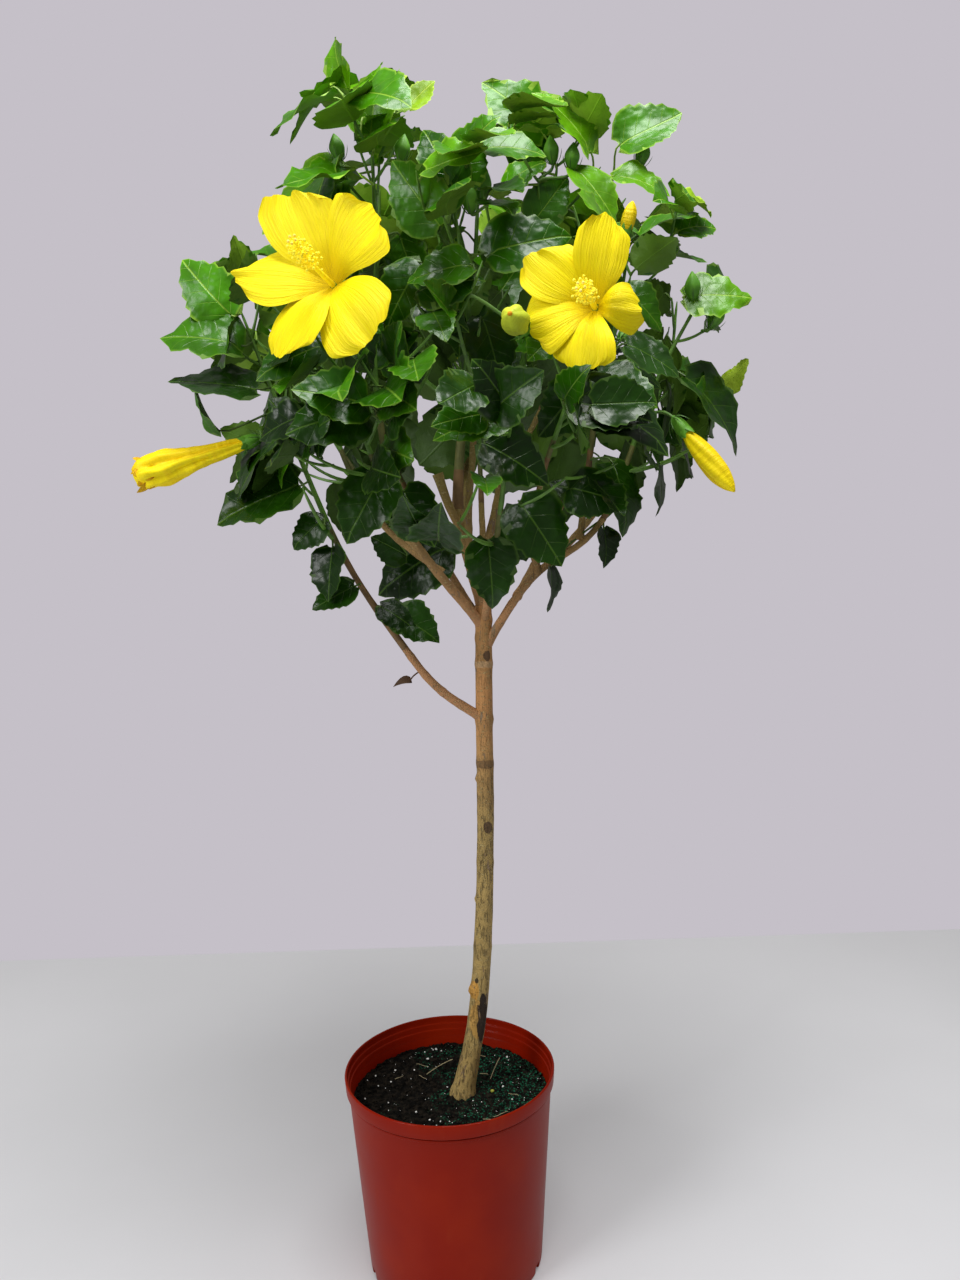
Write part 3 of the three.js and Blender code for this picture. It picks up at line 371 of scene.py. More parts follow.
def grow_twigs(shoot):
    """The stem of a mass and the side twigs that its seeded rule puts on it."""
    path, cut, tip, _ = boughs[shoot.name]
    draw = seeded(shoot.seed)
    stem = limb_on(path, cut, 1, STEM_RINGS, lambda share: mix(tip, TWIG_TIP, share))
    stem.points[0] += stem.alongs[0] * GAP
    axes = [stem]
    for i in range(shoot.twigs):
        share = FIRST_TWIG + TWIG_SPAN * (i + 0.5) / shoot.twigs
        foot, along = path.at(mix(cut, 1, share)), path.heading(mix(cut, 1, share))
        side = turned(along, shoot.turn + i * GOLDEN_ANGLE)
        length = shoot.reach * (1 - TWIG_SHORTER * share) * (0.85 + 0.3 * draw())
        heading = unit(side * 0.8 + along * 0.55 + outwards(foot) * 0.35)
        twig = side_twig(foot, heading, length, mix(tip, TWIG_TIP, share) * 0.8)
        beyond = twig.points[1:]
        if in_head(beyond, TWIG_REACH) and wood.clear_of_others(beyond, shoot.name, TWIG_CLEAR):
            axes.append(twig)
    masses[shoot.name] = {"axes": axes, "leaves": []}
    for axis in axes:
        wood.add(axis, shoot.name)


# ---- The growth rule: leaves ------------------------------------------------------------------

Leaf = namedtuple("Leaf", "root foot forward across normal length")
GRID_U = np.repeat(np.linspace(0, 1, 11), 5)
GRID_V = np.tile(np.linspace(-1, 1, 5), 11)
GRID_V = GRID_V * np.interp(GRID_U, [row[0] for row in OUTLINE], [row[1] for row in OUTLINE])


def make_leaf(root, foot, along, face, length):
    forward = unit(along)
    face = np.asarray(face, float)
    normal = unit(face - forward * face.dot(forward))
    return Leaf(root, foot, forward, np.cross(normal, forward), normal, length)


def on_blade(leaf, u, v):
    """Points of the blade: shares along it and across it."""
    lift = FOLD * np.abs(v) * HALF_WIDTH - DROOP * u * u
    return leaf.foot + leaf.length * (np.outer(u, leaf.forward) + np.outer(v * HALF_WIDTH, leaf.across)
                                      + np.outer(lift, leaf.normal))


def leaf_points(leaf):
    stalk = [mix(leaf.root, leaf.foot, share) for share in (0.4, 0.75)]
    return np.vstack((stalk, on_blade(leaf, GRID_U, GRID_V)))


def leaf_middle(leaf):
    return on_blade(leaf, np.array([0.45]), np.array([0.0]))[0]


class Room:
    """The leaves and blossom placed so far, and the marks that share the head's space out."""

    def __init__(self):
        self.points, self.middles, self.lengths = [], [], []
        self.balls, self.ball_radii = [], []
        self.marks, self.mark_owners = [], []

    def mark_blossom(self, bloom):
        centre, look = np.array(bloom.at, float), unit(bloom.face)
        if bloom.kind == "open":
            self.ball(centre + look * 24, FACE_ROOM)
            self.ball(centre - look * 24, THROAT_ROOM)
            for spoke in spokes(look, 10):
                self.ball(centre + spoke * 0.66 * BLOOM_RADIUS + look * 8, RIM_ROOM)
        else:
            steps = max(2, int(bloom.length / 14 + 0.5))
            radius = FADED_ROOM if bloom.kind == "faded" else BUD_ROOM
            for i in range(steps + 1):
                self.ball(centre + look * bloom.length * i / steps, radius)
        self.mark(centre, bloom.on)

    def ball(self, centre, radius):
        self.balls.append(centre)
        self.ball_radii.append(radius)

    def mark(self, point, owner):
        self.marks.append(point)
        self.mark_owners.append(owner)

    def fits(self, leaf, name, spacing):
        """Whether a leaf keeps to its mass's own space and touches no limb, blossom or other leaf."""
        points = leaf_points(leaf)
        if not in_head(points, LEAF_REACH):
            return False
        middle = leaf_middle(leaf)
        apart = np.linalg.norm(points[:, None] - np.array(self.balls), axis=2)
        if np.any(apart < self.ball_radii):
            return False
        away = np.linalg.norm(wood.centres - leaf.root, axis=1) > ROOT_FREE
        away &= np.linalg.norm(wood.centres - middle, axis=1) < leaf.length + 20
        apart = np.linalg.norm(points[:, None] - wood.centres[away], axis=2)
        if np.any(apart < wood.radii[away] + WOOD_CLEAR):
            return False
        if self.middles:
            gaps = np.linalg.norm(np.array(self.middles) - middle, axis=1)
            for i in np.nonzero(gaps < (np.array(self.lengths) + leaf.length) * 0.75)[0]:
                if np.linalg.norm(points[:, None] - self.points[i], axis=2).min() < spacing:
                    return False
        apart = np.linalg.norm(points[:, None] - np.array(self.marks), axis=2)
        own = np.array(self.mark_owners) == name
        return bool(np.all(apart[:, own].min(axis=1) + 2 < apart[:, ~own].min(axis=1)))

    def keep(self, leaf, name):
        masses[name]["leaves"].append(leaf)
        self.points.append(leaf_points(leaf))
        self.middles.append(leaf_middle(leaf))
        self.lengths.append(leaf.length)


room = Room()


def nearest_wood(name, point):
    """The nearest point on a mass's wood, where a placed leaf or blossom is rooted."""
    centres = np.vstack([axis.balls()[0] for axis in masses[name]["axes"]])
    return centres[np.argmin(np.linalg.norm(centres - point, axis=1))]


def place_leaf(name, foot, tip, face):
    foot, tip = np.array(foot, float), np.array(tip, float)
    look = face if face else outwards(foot) * 0.7 + UP
    length = np.linalg.norm(tip - foot)
    room.keep(make_leaf(nearest_wood(name, foot), foot, tip - foot, look, length), name)


def try_leaf(name, point, heading, age, turn, draw, size, spacing):
    """A leaf of the seeded rule; each try turns it a little further or makes it smaller."""
    grown = min(1, age * 1.8)
    length = mix(LEAF_YOUNG, LEAF_GROWN, grown) * (0.9 + 0.2 * draw()) * size
    stalk = mix(STALK_YOUNG, STALK_GROWN, grown) * (0.8 + 0.4 * draw()) * size
    dip = mix(0.45, -0.8, min(1, age * 1.6)) + 0.4 * (draw() - 0.5)
    roll = 0.5 * (draw() - 0.5)
    for swing, scale, tilt in TRIES:
        side = turned(heading, turn + swing)
        leaving = unit(side + heading * mix(1.1, 0.35, min(1, age * 2)) + UP * 0.25)
        foot = point + leaving * stalk * scale
        out = outwards(foot)
        flat = side + out * 0.7
        flat = unit((flat[0], flat[1], 0))
        along = flat * math.cos(dip + tilt) + UP * math.sin(dip + tilt)
        look = out + UP * 0.6 + np.cross(along, UP) * roll
        leaf = make_leaf(point, foot, along, look, length * scale)
        if leaves_sky_open(leaf) and room.fits(leaf, name, spacing):
            room.keep(leaf, name)
            return


def places_down(axis, step, reach, first_steps=0.7):
    """Places at even steps down a twig from its tip, with the distance back from the tip."""
    lengths = walked(axis.points)
    for k in range(int(lengths[-1] * reach / step)):
        back = 3 + k * step * (first_steps if k < 3 else 1)
        i = max(1, int(np.searchsorted(lengths, lengths[-1] - back)))
        share = (lengths[-1] - back - lengths[i - 1]) / (lengths[i] - lengths[i - 1])
        yield (k, back, mix(axis.points[i - 1], axis.points[i], share),
               unit(mix(axis.alongs[i - 1], axis.alongs[i], share)))


def grow_leaves(shoot):
    """Leaves down each twig from its tip, each a golden angle on from the last."""
    for index, axis in enumerate(masses[shoot.name]["axes"]):
        for k, back, point, heading in places_down(axis, LEAF_STEP, TWIG_LEAFY if index else STEM_LEAFY):
            draw = seeded(shoot.seed * 1000 + index * 100 + k)
            turn = shoot.turn + index * 2 + k * GOLDEN_ANGLE
            try_leaf(shoot.name, point, heading, back / AGE_SPAN, turn, draw, 1, SPACING)


FINE_STEP, FINE_LENGTH, FINE_RADIUS, FINE_CLEAR, FINE_SPACING = 28, (30, 52), 1.5, 5, 2.5
FINE_LEAF_STEP, FINE_LEAF, FINE_AGE = 11, 0.88, 0.12  # along a fine twig, share of a full leaf, least age
SKIRT_FOOT, SKIRT_RADIUS, SKIRT_RISE = 764, 80, 0.56  # the head's underside: a cone round the trunk
# Openings through the head, as seen from in front at leaf height: x and z of the middle, and the reach.
OPEN_SKY = np.array((
    (54, 1286, 36, 33), (78, 1213, 20, 11), (159, 1215, 14, 16), (-73, 1251, 11, 26), (-44, 1204, 31, 12),
    (53, 1157, 10, 37), (-167, 1169, 19, 31), (-227, 1077, 33, 26), (-216, 989, 46, 21),
    (-120, 906, 18, 22), (-252, 953, 29, 18), (-163, 857, 19, 21), (-241, 892, 19, 19),
    (-80, 826, 15, 15), (16, 747, 37, 26),
    (101, 757, 20, 20), (142, 778, 13, 15), (233, 1173, 15, 18), (276, 1093, 10, 18), (281, 1037, 12, 18),
    (300, 1015, 26, 22), (328, 916, 16, 25), (192, 920, 15, 10), (203, 1207, 22, 11),
), float)
# The same for the leaves of the front half alone, so that the boughs behind show.
OPEN_BOUGHS = np.array(((33, 887, 14, 37), (45, 807, 13, 31), (92, 894, 10, 40), (-1, 802, 15, 20)), float)
FRONT_EYE = np.array((51.0, -1091.0, 838.0))
PROBE_U, PROBE_V = np.repeat((0.1, 0.35, 0.6, 0.85, 1), 3), np.tile((-0.6, 0, 0.6), 5)


def leaves_sky_open(leaf):
    """Whether a leaf stays above the head's skirt and out of the openings through its front."""
    tips = on_blade(leaf, PROBE_U, PROBE_V)
    apart = np.hypot(tips[:, 0] - HEAD_CENTRE[0], tips[:, 1])
    if np.any(tips[:, 2] < SKIRT_FOOT + SKIRT_RISE * np.maximum(0, apart - SKIRT_RADIUS)):
        return False
    sight = tips - FRONT_EYE
    crossing = (FRONT_EYE + sight * (-FRONT_EYE[1] / sight[:, 1:2]))[:, [0, 2]]
    openings = OPEN_SKY if leaf.foot[1] > -10 else np.vstack((OPEN_SKY, OPEN_BOUGHS))
    off = (crossing[:, None] - openings[:, :2]) / openings[:, 2:]
    return bool(np.all(np.hypot(off[..., 0], off[..., 1]) > 1))


def grow_fine_twigs(shoot):
    """Finer twigs from the stem and side twigs, with smaller leaves, within the same reach."""
    mass = masses[shoot.name]
    for index, axis in enumerate(list(mass["axes"])):
        for k, back, point, heading in places_down(axis, FINE_STEP, 0.95, 1):
            draw = seeded(shoot.seed * 5000 + index * 100 + k)
            side = turned(heading, shoot.turn + 1.3 + index + k * GOLDEN_ANGLE)
            leaving = unit(side * 0.8 + heading * 0.5 + outwards(point) * 0.3)
            twig = side_twig(point, leaving, mix(*FINE_LENGTH, draw()), FINE_RADIUS)
            beyond = twig.points[1:]
            if not (in_head(beyond, FINE_REACH) and wood.clear_of_others(beyond, shoot.name, FINE_CLEAR)):
                continue
            before = len(mass["leaves"])
            for j, fine_back, fine_point, fine_heading in places_down(twig, FINE_LEAF_STEP, 0.9):
                turn = shoot.turn + k + j * GOLDEN_ANGLE
                age = FINE_AGE + (back + fine_back) / (2 * AGE_SPAN)
                try_leaf(shoot.name, fine_point, fine_heading, age, turn, draw, FINE_LEAF, FINE_SPACING)
            if len(mass["leaves"]) > before:
                mass["axes"].append(twig)


wood.add(limb_on(Path(TRUNK_PATH), 0, 1, 14, lambda share: table_value(TRUNK_RADII, share)), "trunk")
for shoot in SHOOTS:
    lay_bough(shoot)
wood.add(limb_on(Path(STUB_PATH), 0, 1, 4, lambda share: STUB_RADIUS * (1 + STUB_SWELL * share)), "stub")
for shoot in SHOOTS:
    grow_twigs(shoot)
for bloom in BLOSSOM:
    room.mark_blossom(bloom)
for shoot in SHOOTS:
    for axis in masses[shoot.name]["axes"]:
        for centre in axis.balls()[0][::3]:
            room.mark(centre, shoot.name)
for row in PLACED_LEAVES + SMALL_PLACED_LEAVES:
    place_leaf(*row)
for shoot in SHOOTS:
    grow_leaves(shoot)
for shoot in SHOOTS:
    grow_fine_twigs(shoot)

# ---- Shapes and bundles -----------------------------------------------------------------------


class Shape:
    """A form's corners and faces, read from a bmesh that operators have shaped."""

    def __init__(self, bm):
        bm.verts.index_update()
        self.corners = np.array([corner.co for corner in bm.verts], float)
        self.faces = [[corner.index for corner in face.verts] for face in bm.faces]
        self.tints = [face.material_index for face in bm.faces]
        bm.free()


class Bundle:
    """Copies of shapes, joined to one mesh as they are added."""

    def __init__(self):
        self.corners, self.faces, self.tints, self.flat = [], [], [], []
        self.count = 0

    def add(self, shape, places, tints=None, flat=None):
        """One more copy, its corners in millimetres. Its tints are one for all its faces, one for each,
        or the shape's own, and flat holds its corners' places for a pattern."""
        if isinstance(tints, int):
            tints = [tints] * len(shape.faces)
        self.corners.append(places)
        self.faces.extend([index + self.count for index in face] for face in shape.faces)
        self.tints.extend(tints if tints is not None else shape.tints)
        self.flat.append(np.zeros((len(places), 3)) if flat is None else flat)
        self.count += len(places)

    def piece(self, name, finishes, slot, nodes=(), sharp=50):
        mesh = bpy.data.meshes.new(name)
        mesh.from_pydata((np.vstack(self.corners) * MM).tolist(), [], self.faces)
        mesh.polygons.foreach_set("material_index", self.tints)
        for finish in finishes:
            mesh.materials.append(finish)
        layer = mesh.attributes.new("flat", "FLOAT_VECTOR", "POINT")
        layer.data.foreach_set("vector", np.vstack(self.flat).ravel())
        mesh.shade_smooth()
        mesh.set_sharp_from_angle(angle=math.radians(sharp))
        place_piece(name, mesh, nodes)


def in_scene(name, data):
    """A new object that holds a mesh, light or camera."""
    thing = bpy.data.objects.new(name, data)
    bpy.context.scene.collection.objects.link(thing)
    return thing


def place_piece(name, mesh, nodes):
    piece = in_scene(name, mesh)
    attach(piece, "root")
    if nodes:
        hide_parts(*nodes)


def mesh_of(bm, name):
    mesh = bpy.data.meshes.new(name)
    bm.to_mesh(mesh)
    bm.free()
    return mesh


tube_shapes = {}


def tube_shape(sides, rings):
    """A round bar with rings along it: corners hold the angle, the ring's share and the radius."""
    if (sides, rings) not in tube_shapes:
        bm = bmesh.new()
        bmesh.ops.create_cone(bm, cap_ends=True, segments=sides, radius1=1, radius2=1, depth=1)
        long_edges = [e for e in bm.edges if abs(e.verts[0].co.z - e.verts[1].co.z) > 0.5]
        if rings > 2:
            bmesh.ops.subdivide_edges(bm, edges=long_edges, cuts=rings - 2, use_grid_fill=True)
        tube_shapes[sides, rings] = Shape(bm)
    return tube_shapes[sides, rings]


def tube(bundle, points, radii, sides, tints=None, relief=None):
    """A tube along points, with frames carried along it; relief adds to the radius."""
    points, radii = np.asarray(points, float), np.asarray(radii, float)
    shape = tube_shape(sides, len(points))
    headings = np.gradient(points, axis=0)
    headings /= np.linalg.norm(headings, axis=1)[:, None]
    across, frames = np.array((1.0, 0.0, 0.0)), []
    if abs(headings[0][0]) > 0.95:
        across = np.array((0.0, 1.0, 0.0))
    for heading in headings:
        across = unit(across - heading * across.dot(heading))
        frames.append((across, np.cross(heading, across)))
    frames = np.array(frames)
    angle = np.arctan2(shape.corners[:, 1], shape.corners[:, 0])
    ring = np.rint((shape.corners[:, 2] + 0.5) * (len(points) - 1)).astype(int)
    radius = radii[ring]
    if relief is not None:
        radius = radius + relief(angle, points[ring])
    places = (points[ring] + frames[ring, 0] * (np.cos(angle) * radius)[:, None]
              + frames[ring, 1] * (np.sin(angle) * radius)[:, None])
    flat = np.column_stack((angle / (2 * math.pi), ring / (len(points) - 1), np.zeros(len(angle))))
    bundle.add(shape, places, tints, flat)


def bend(start, leave, arrive, end, count):
    """Points on a bend between two places, pulled towards two others."""
    s = np.linspace(0, 1, count)[:, None]
    return (start * (1 - s) ** 3 + 3 * leave * s * (1 - s) ** 2 + 3 * arrive * s * s * (1 - s)
            + end * s ** 3)


# ---- Finishes ---------------------------------------------------------------------------------


def paint(red, green, blue):
    """A colour from its display values, 0 to 255."""
    def linear(value):
        value /= 255
        return value / 12.92 if value <= 0.04045 else ((value + 0.055) / 1.055) ** 2.4
    return (linear(red), linear(green), linear(blue), 1.0)


def shade(colour, share):
    """A colour made darker or lighter."""
    return tuple(min(1, channel * share) for channel in colour[:3]) + (1,)


class Value:
    """A shader socket to reckon with: an expression on it adds its Math nodes."""

    def __init__(self, finish, socket):
        self.finish, self.socket = finish, socket

    def reckon(self, operation, *values):
        return self.finish.node("ShaderNodeMath", {"operation": operation}, dict(enumerate(values)))

    def __add__(self, other):
        return self.reckon("ADD", self, other)

    def __sub__(self, other):
        return self.reckon("SUBTRACT", self, other)

    def __rsub__(self, other):
        return self.reckon("SUBTRACT", other, self)

    def __mul__(self, other):
        return self.reckon("MULTIPLY", self, other)

    def __truediv__(self, other):
        return self.reckon("DIVIDE", self, other)

    def __abs__(self):
        return self.reckon("ABSOLUTE", self)

    __radd__ = __add__
    __rmul__ = __mul__


class Finish:
    """A material: a Principled surface and the nodes that feed it."""

    def __init__(self, name, settings):
        self.material = bpy.data.materials.new(name)
        self.material.use_nodes = True
        self.tree = self.material.node_tree
        self.surface = self.tree.nodes["Principled BSDF"]
        for socket, value in settings.items():
            self.set(socket, value)

    def feed(self, socket, value):
        if isinstance(value, Value):
            self.tree.links.new(value.socket, socket)
        else:
            socket.default_value = value

    def set(self, socket, value):
        self.feed(self.surface.inputs[socket], value)

    def node(self, kind, settings, inputs, output=0):
        """Adds a node: its settings first, then its sockets' values or links."""
        node = self.tree.nodes.new(kind)
        for name, value in settings.items():
            setattr(node, name, value)
        for socket, value in inputs.items():
            self.feed(node.inputs[socket], value)
        return Value(self, node.outputs[output])

    def places(self, stretch=(1, 1, 1)):
        """Places on the object, in metres, drawn together by a stretch along each axis."""
        here = self.node("ShaderNodeTexCoord", {}, {}, "Object")
        if stretch == (1, 1, 1):
            return here
        return self.node("ShaderNodeVectorMath", {"operation": "MULTIPLY"}, {0: here, 1: stretch})

    def flat(self):
        """The piece's own coordinates: along, across, and 0 in its middle to 1 at its rim."""
        here = self.node("ShaderNodeAttribute", {"attribute_name": "flat"}, {}, "Vector")
        return [self.node("ShaderNodeSeparateXYZ", {}, {0: here}, axis) for axis in "XYZ"]

    def grain(self, scale, detail, where=None, roughness=0.5):
        return self.node("ShaderNodeTexNoise", {}, {"Vector": where or self.places(), "Scale": scale,
                                                    "Detail": detail, "Roughness": roughness}, "Fac")

    def cells(self, scale):
        return self.node("ShaderNodeTexVoronoi", {}, {"Vector": self.places(), "Scale": scale}, "Distance")

    def ease(self, value, low, high):
        """0 below low, 1 above high, and smooth between; with low above high it falls."""
        return self.node("ShaderNodeMapRange", {"interpolation_type": "SMOOTHSTEP"},
                         {"Value": value, "From Min": low, "From Max": high})

    def blend(self, share, first, second):
        return self.node("ShaderNodeMix", {"data_type": "RGBA"}, {0: share, 6: first, 7: second}, 2)

    def mottle(self, first, second, scale, detail, low, high):
        """Soft patches of a second colour in a first."""
        return self.blend(self.ease(self.grain(scale, detail), low, high), first, second)

    def shine(self, colour, strength):
        """A surface colour that also stands for the light that comes through a thin part."""
        self.set("Base Color", colour)
        self.set("Emission Color", colour)
        self.set("Emission Strength", strength)

    def near(self, place, radius, stretch):
        """1 at a place, falling to 0 at the radius round it."""
        centre = tuple(a * b for a, b in zip(place, stretch))
        apart = self.node("ShaderNodeVectorMath", {"operation": "DISTANCE"},
                          {0: self.places(stretch), 1: centre}, "Value")
        return self.ease(apart, radius, radius * 0.35)

    def height(self):
        return self.node("ShaderNodeSeparateXYZ", {}, {0: self.places()}, "Z")

    def relief(self, height, depth, strength=1.0):
        """Bump from a height between 0 and 1, that deep in metres."""
        bump = self.node("ShaderNodeBump", {}, {"Height": height, "Distance": depth, "Strength": strength})
        self.set("Normal", bump)


MIDRIB = 0.018, 0.004  # where it fades out and where it is full, to each side of the middle
RIB_SLANT, RIB_STEP = 0.75, 0.2  # how far side veins lean forward, and their spacing along the blade


def leaf_finish(name, colour, vein, roughness, coat):
    """A blade's upper face: glossy and softly puckered, with a paler midrib, side veins and rim."""
    finish = Finish(name, {"Roughness": roughness, "Coat Weight": coat, "Coat Roughness": 0.2,
                           "Specular IOR Level": 0.26})
    along, across, rim = finish.flat()
    side = abs(across)
    midrib = finish.ease(side, *MIDRIB)
    row = (along - side * RIB_SLANT) / RIB_STEP + finish.grain(22, 2) * 0.5
    ribs = finish.ease(abs(row.reckon("FRACT", row) - 0.5), 0.045, 0.0) * finish.ease(side, 0.34, 0.1)
    veins = midrib.reckon("MAXIMUM", midrib, ribs * 0.5)
    base = finish.mottle(shade(colour, 0.6), colour, 30, 3, 0.3, 0.7)
    base = finish.blend(veins * 0.6, base, vein)
    finish.set("Base Color", finish.blend(finish.ease(rim, 0.88, 1.0) * 0.5, base, vein))
    puckers = finish.grain(60, 1) + finish.grain(125, 1) * 0.26
    finish.relief(puckers - midrib * 0.12 - ribs * 0.07, 0.006, 0.65)
    return finish.material


def under_leaf(name, colour):
    """A blade's underside: matt, with raised ribs."""
    finish = Finish(name, {"Roughness": 0.55})
    midrib = finish.ease(abs(finish.flat()[1]), *MIDRIB)
    pale = shade(colour, 1.6)
    base = finish.blend(finish.ease(finish.grain(40, 3), 0.3, 0.7) * 0.4, colour, pale)
    finish.set("Base Color", finish.blend(midrib * 0.6, base, pale))
    finish.relief(midrib * 0.3 + finish.grain(90, 3), 0.0025, 0.5)
    return finish.material


def bark_finish(name, low, high, change, cracks=1.0):
    """Bark whose colour changes with height, with fine upright cracks and pale flecks."""
    finish = Finish(name, {"Roughness": 0.78})
    height = finish.height()
    patches = finish.grain(34, 5)
    base = finish.blend(finish.ease(height + patches * 0.12, *change), low, high)
    upright = finish.places((1, 1, 0.22))
    crack = finish.ease(finish.grain(380, 5, upright, 0.65), 0.47, 0.36) * cracks
    crack = crack * (1 - finish.ease(height, 0.5, 0.66) * 0.7)
    fleck = finish.ease(finish.grain(260, 3, finish.places((1, 1, 2.2))), 0.56, 0.68)
    base = finish.blend(finish.ease(patches, 0.4, 0.72) * 0.5, base, shade(low, 0.5))
    base = finish.blend(crack * 0.45, base, paint(72, 54, 26))
    base = finish.blend(fleck * 0.5, base, paint(206, 186, 128))
    # marks on the trunk; the black and dark ones over its hollows also paint the hollows' shade
    for place, radius, stretch, colour, share in BARK_MARKS:
        torn = finish.near(place, radius, stretch) + finish.grain(160, 5, upright, 0.65) * 2.2
        base = finish.blend(finish.ease(torn, 1.34, 1.46) * share, base, colour)
    finish.set("Base Color", base)
    rough = finish.grain(200, 6, upright, 0.7)
    finish.relief(rough + fleck * 0.3 - crack * 0.5, 0.0026, 1.0)
    return finish.material


BLACK_BARK_AND_HOLLOW_SHADE, DARK_BARK_AND_HOLLOW_SHADE = paint(46, 30, 14), paint(86, 62, 40)
GOLD_BARK, CREAM_BARK = paint(206, 152, 66), paint(216, 192, 156)
# place, reach, stretch along each axis, colour and strength of the marks on the trunk; the black and dark
# marks over its hollows are dark bark and also painted shade in the hollows
BARK_MARKS = (
    ((0.034, -0.017, 0.290), 0.013, (1, 1, 0.4), GOLD_BARK, 0.6),
    ((0.044, -0.016, 0.282), 0.0145, (1, 1, 0.34), BLACK_BARK_AND_HOLLOW_SHADE, 1.0),
    ((0.042, -0.017, 0.312), 0.007, (1, 1, 0.5), BLACK_BARK_AND_HOLLOW_SHADE, 1.0),
    ((0.030, -0.013, 0.324), 0.011, (1, 1, 0.8), GOLD_BARK, 0.95),
    ((0.033, -0.016, 0.336), 0.005, (1, 1, 1), BLACK_BARK_AND_HOLLOW_SHADE, 0.9),
    ((0.053, -0.013, 0.512), 0.006, (1, 1, 0.6), DARK_BARK_AND_HOLLOW_SHADE, 0.9),
    ((0.052, -0.005, 0.583), 0.016, (0.6, 0.6, 2.6), DARK_BARK_AND_HOLLOW_SHADE, 0.6),
    ((0.059, -0.014, 0.703), 0.006, (1, 1, 0.8), DARK_BARK_AND_HOLLOW_SHADE, 0.9),
    ((0.055, -0.005, 0.694), 0.016, (0.5, 0.5, 3.4), CREAM_BARK, 0.3),
)


def stem_finish(name, colour, dim, roughness=0.55):
    """A young stem: smooth skin with small pores."""
    finish = Finish(name, {"Roughness": roughness})
    finish.set("Base Color", finish.mottle(colour, dim, 90, 3, 0.35, 0.7))
    finish.relief(finish.grain(500, 3, finish.places((1, 1, 0.3))), 0.0006, 0.5)
    return finish.material


def petal_finish(name, colour, deep_and_shaded, roughness=0.5, throat=None):
    """A petal: clear yellow, painted darker along its long creases and towards its foot in the throat as
    painted shade, with brown flecks in its throat and light in its thin skin.
    """
    finish = Finish(name, {"Roughness": roughness, "Specular IOR Level": 0.2})
    along, across, rim = finish.flat()
    spread = finish.node("ShaderNodeCombineXYZ", {}, {"X": across * 17, "Y": along * 1.5})
    creases = finish.grain(1.0, 4, spread, 0.6)
    # darker yellow along the creases: painted shade
    base = finish.blend(finish.ease(creases, 0.4, 0.66) * 0.45, colour, deep_and_shaded)
    # darker yellow towards the petal's foot, down in the throat: painted shade
    base = finish.blend(finish.ease(along, 0.45, 0.05) * 0.7, base, deep_and_shaded)
    if throat:
        flecks = finish.ease(finish.grain(2.4, 2, spread), 0.55, 0.66) * finish.ease(along, 0.2, 0.1)
        base = finish.blend(flecks * 0.8, base, throat)
    finish.shine(finish.blend(finish.ease(rim, 0.9, 1.0) * 0.3, base, colour), 0.08)
    finish.relief(creases, 0.0016, 0.9)
    return finish.material


def glow_finish(name, colour, dim):
    """The flower's thin stamens, which light shines through."""
    finish = Finish(name, {"Roughness": 0.6})
    finish.shine(finish.mottle(colour, dim, 400, 2, 0.4, 0.6), 0.18)
    finish.relief(finish.grain(900, 2), 0.0005, 0.6)
    return finish.material


def plain_finish(name, colour, roughness):
    """One colour with a fine grain."""
    finish = Finish(name, {"Roughness": roughness})
    finish.set("Base Color", finish.mottle(colour, shade(colour, 0.75), 120, 3, 0.35, 0.65))
    finish.relief(finish.grain(360, 3), 0.0006, 0.6)
    return finish.material


def pot_finish():
    """Brick-red plastic: satin, with faint moulding lines, dust and scuffs."""
    finish = Finish("brick_red_plastic", {"Specular IOR Level": 0.06, "Coat Weight": 0.1,
                                          "Coat Roughness": 0.16})
    dust = finish.grain(14, 5)
    scuff = finish.ease(finish.grain(60, 4, finish.places((1, 1, 0.25))), 0.6, 0.75)
    base = finish.blend(finish.ease(dust, 0.35, 0.75), paint(134, 22, 0), paint(144, 30, 0))
    base = finish.blend(scuff * 0.12, base, paint(160, 62, 30))
    finish.set("Base Color", base)
    finish.set("Roughness", 0.36 + finish.ease(dust, 0.3, 0.8) * 0.12 + scuff * 0.1)
    rings = finish.node("ShaderNodeTexWave", {"bands_direction": "Z", "wave_profile": "SIN"},
                        {"Vector": finish.places(), "Scale": 90.0, "Distortion": 0.6}, "Fac")
    finish.relief(rings * 0.25 + finish.grain(700, 2) * 0.75, 0.00012, 0.5)
    return finish.material


def soil_finish():
    """Dark potting mix with teal algae, mostly over its right-hand side."""
    finish = Finish("potting_mix", {"Roughness": 0.95, "Specular IOR Level": 0.12})
    clods, grains = finish.grain(150, 5, None, 0.7), finish.cells(330)
    base = finish.blend(finish.ease(clods, 0.42, 0.66), paint(10, 9, 7), paint(44, 38, 30))
    across = finish.node("ShaderNodeSeparateXYZ", {}, {0: finish.places()}, "X")
    algae = finish.ease(finish.grain(20, 5, None, 0.6) + across * 2.2, 0.46, 0.58)
    specks = finish.ease(grains, 0.5, 0.2) * finish.ease(clods, 0.38, 0.5)
    green = finish.blend(finish.grain(90, 2), paint(10, 74, 54), paint(48, 142, 104))
    finish.set("Base Color", finish.blend(algae * specks, base, green))
    finish.relief(clods - grains * 0.4, 0.005, 1.0)
    return finish.material


# each tone's two greens, its veins, roughness and coat. The tones from deep to bright paint shade and
# light: darker greens for leaves low and inside the head, lighter ones for leaves on its top and outside.
# The young tone is the real colour of young leaves.
TONES = {
    "deep_and_shaded": (paint(18, 50, 0), paint(28, 66, 2), paint(80, 116, 34), 0.3, 0.06),
    "mid": (paint(40, 92, 0), paint(56, 112, 2), paint(118, 158, 48), 0.3, 0.08),
    "bright_and_lit": (paint(68, 134, 0), paint(92, 154, 4), paint(154, 194, 62), 0.32, 0.12),
    "young": (paint(144, 188, 16), paint(166, 200, 24), paint(208, 224, 100), 0.4, 0.05),
}
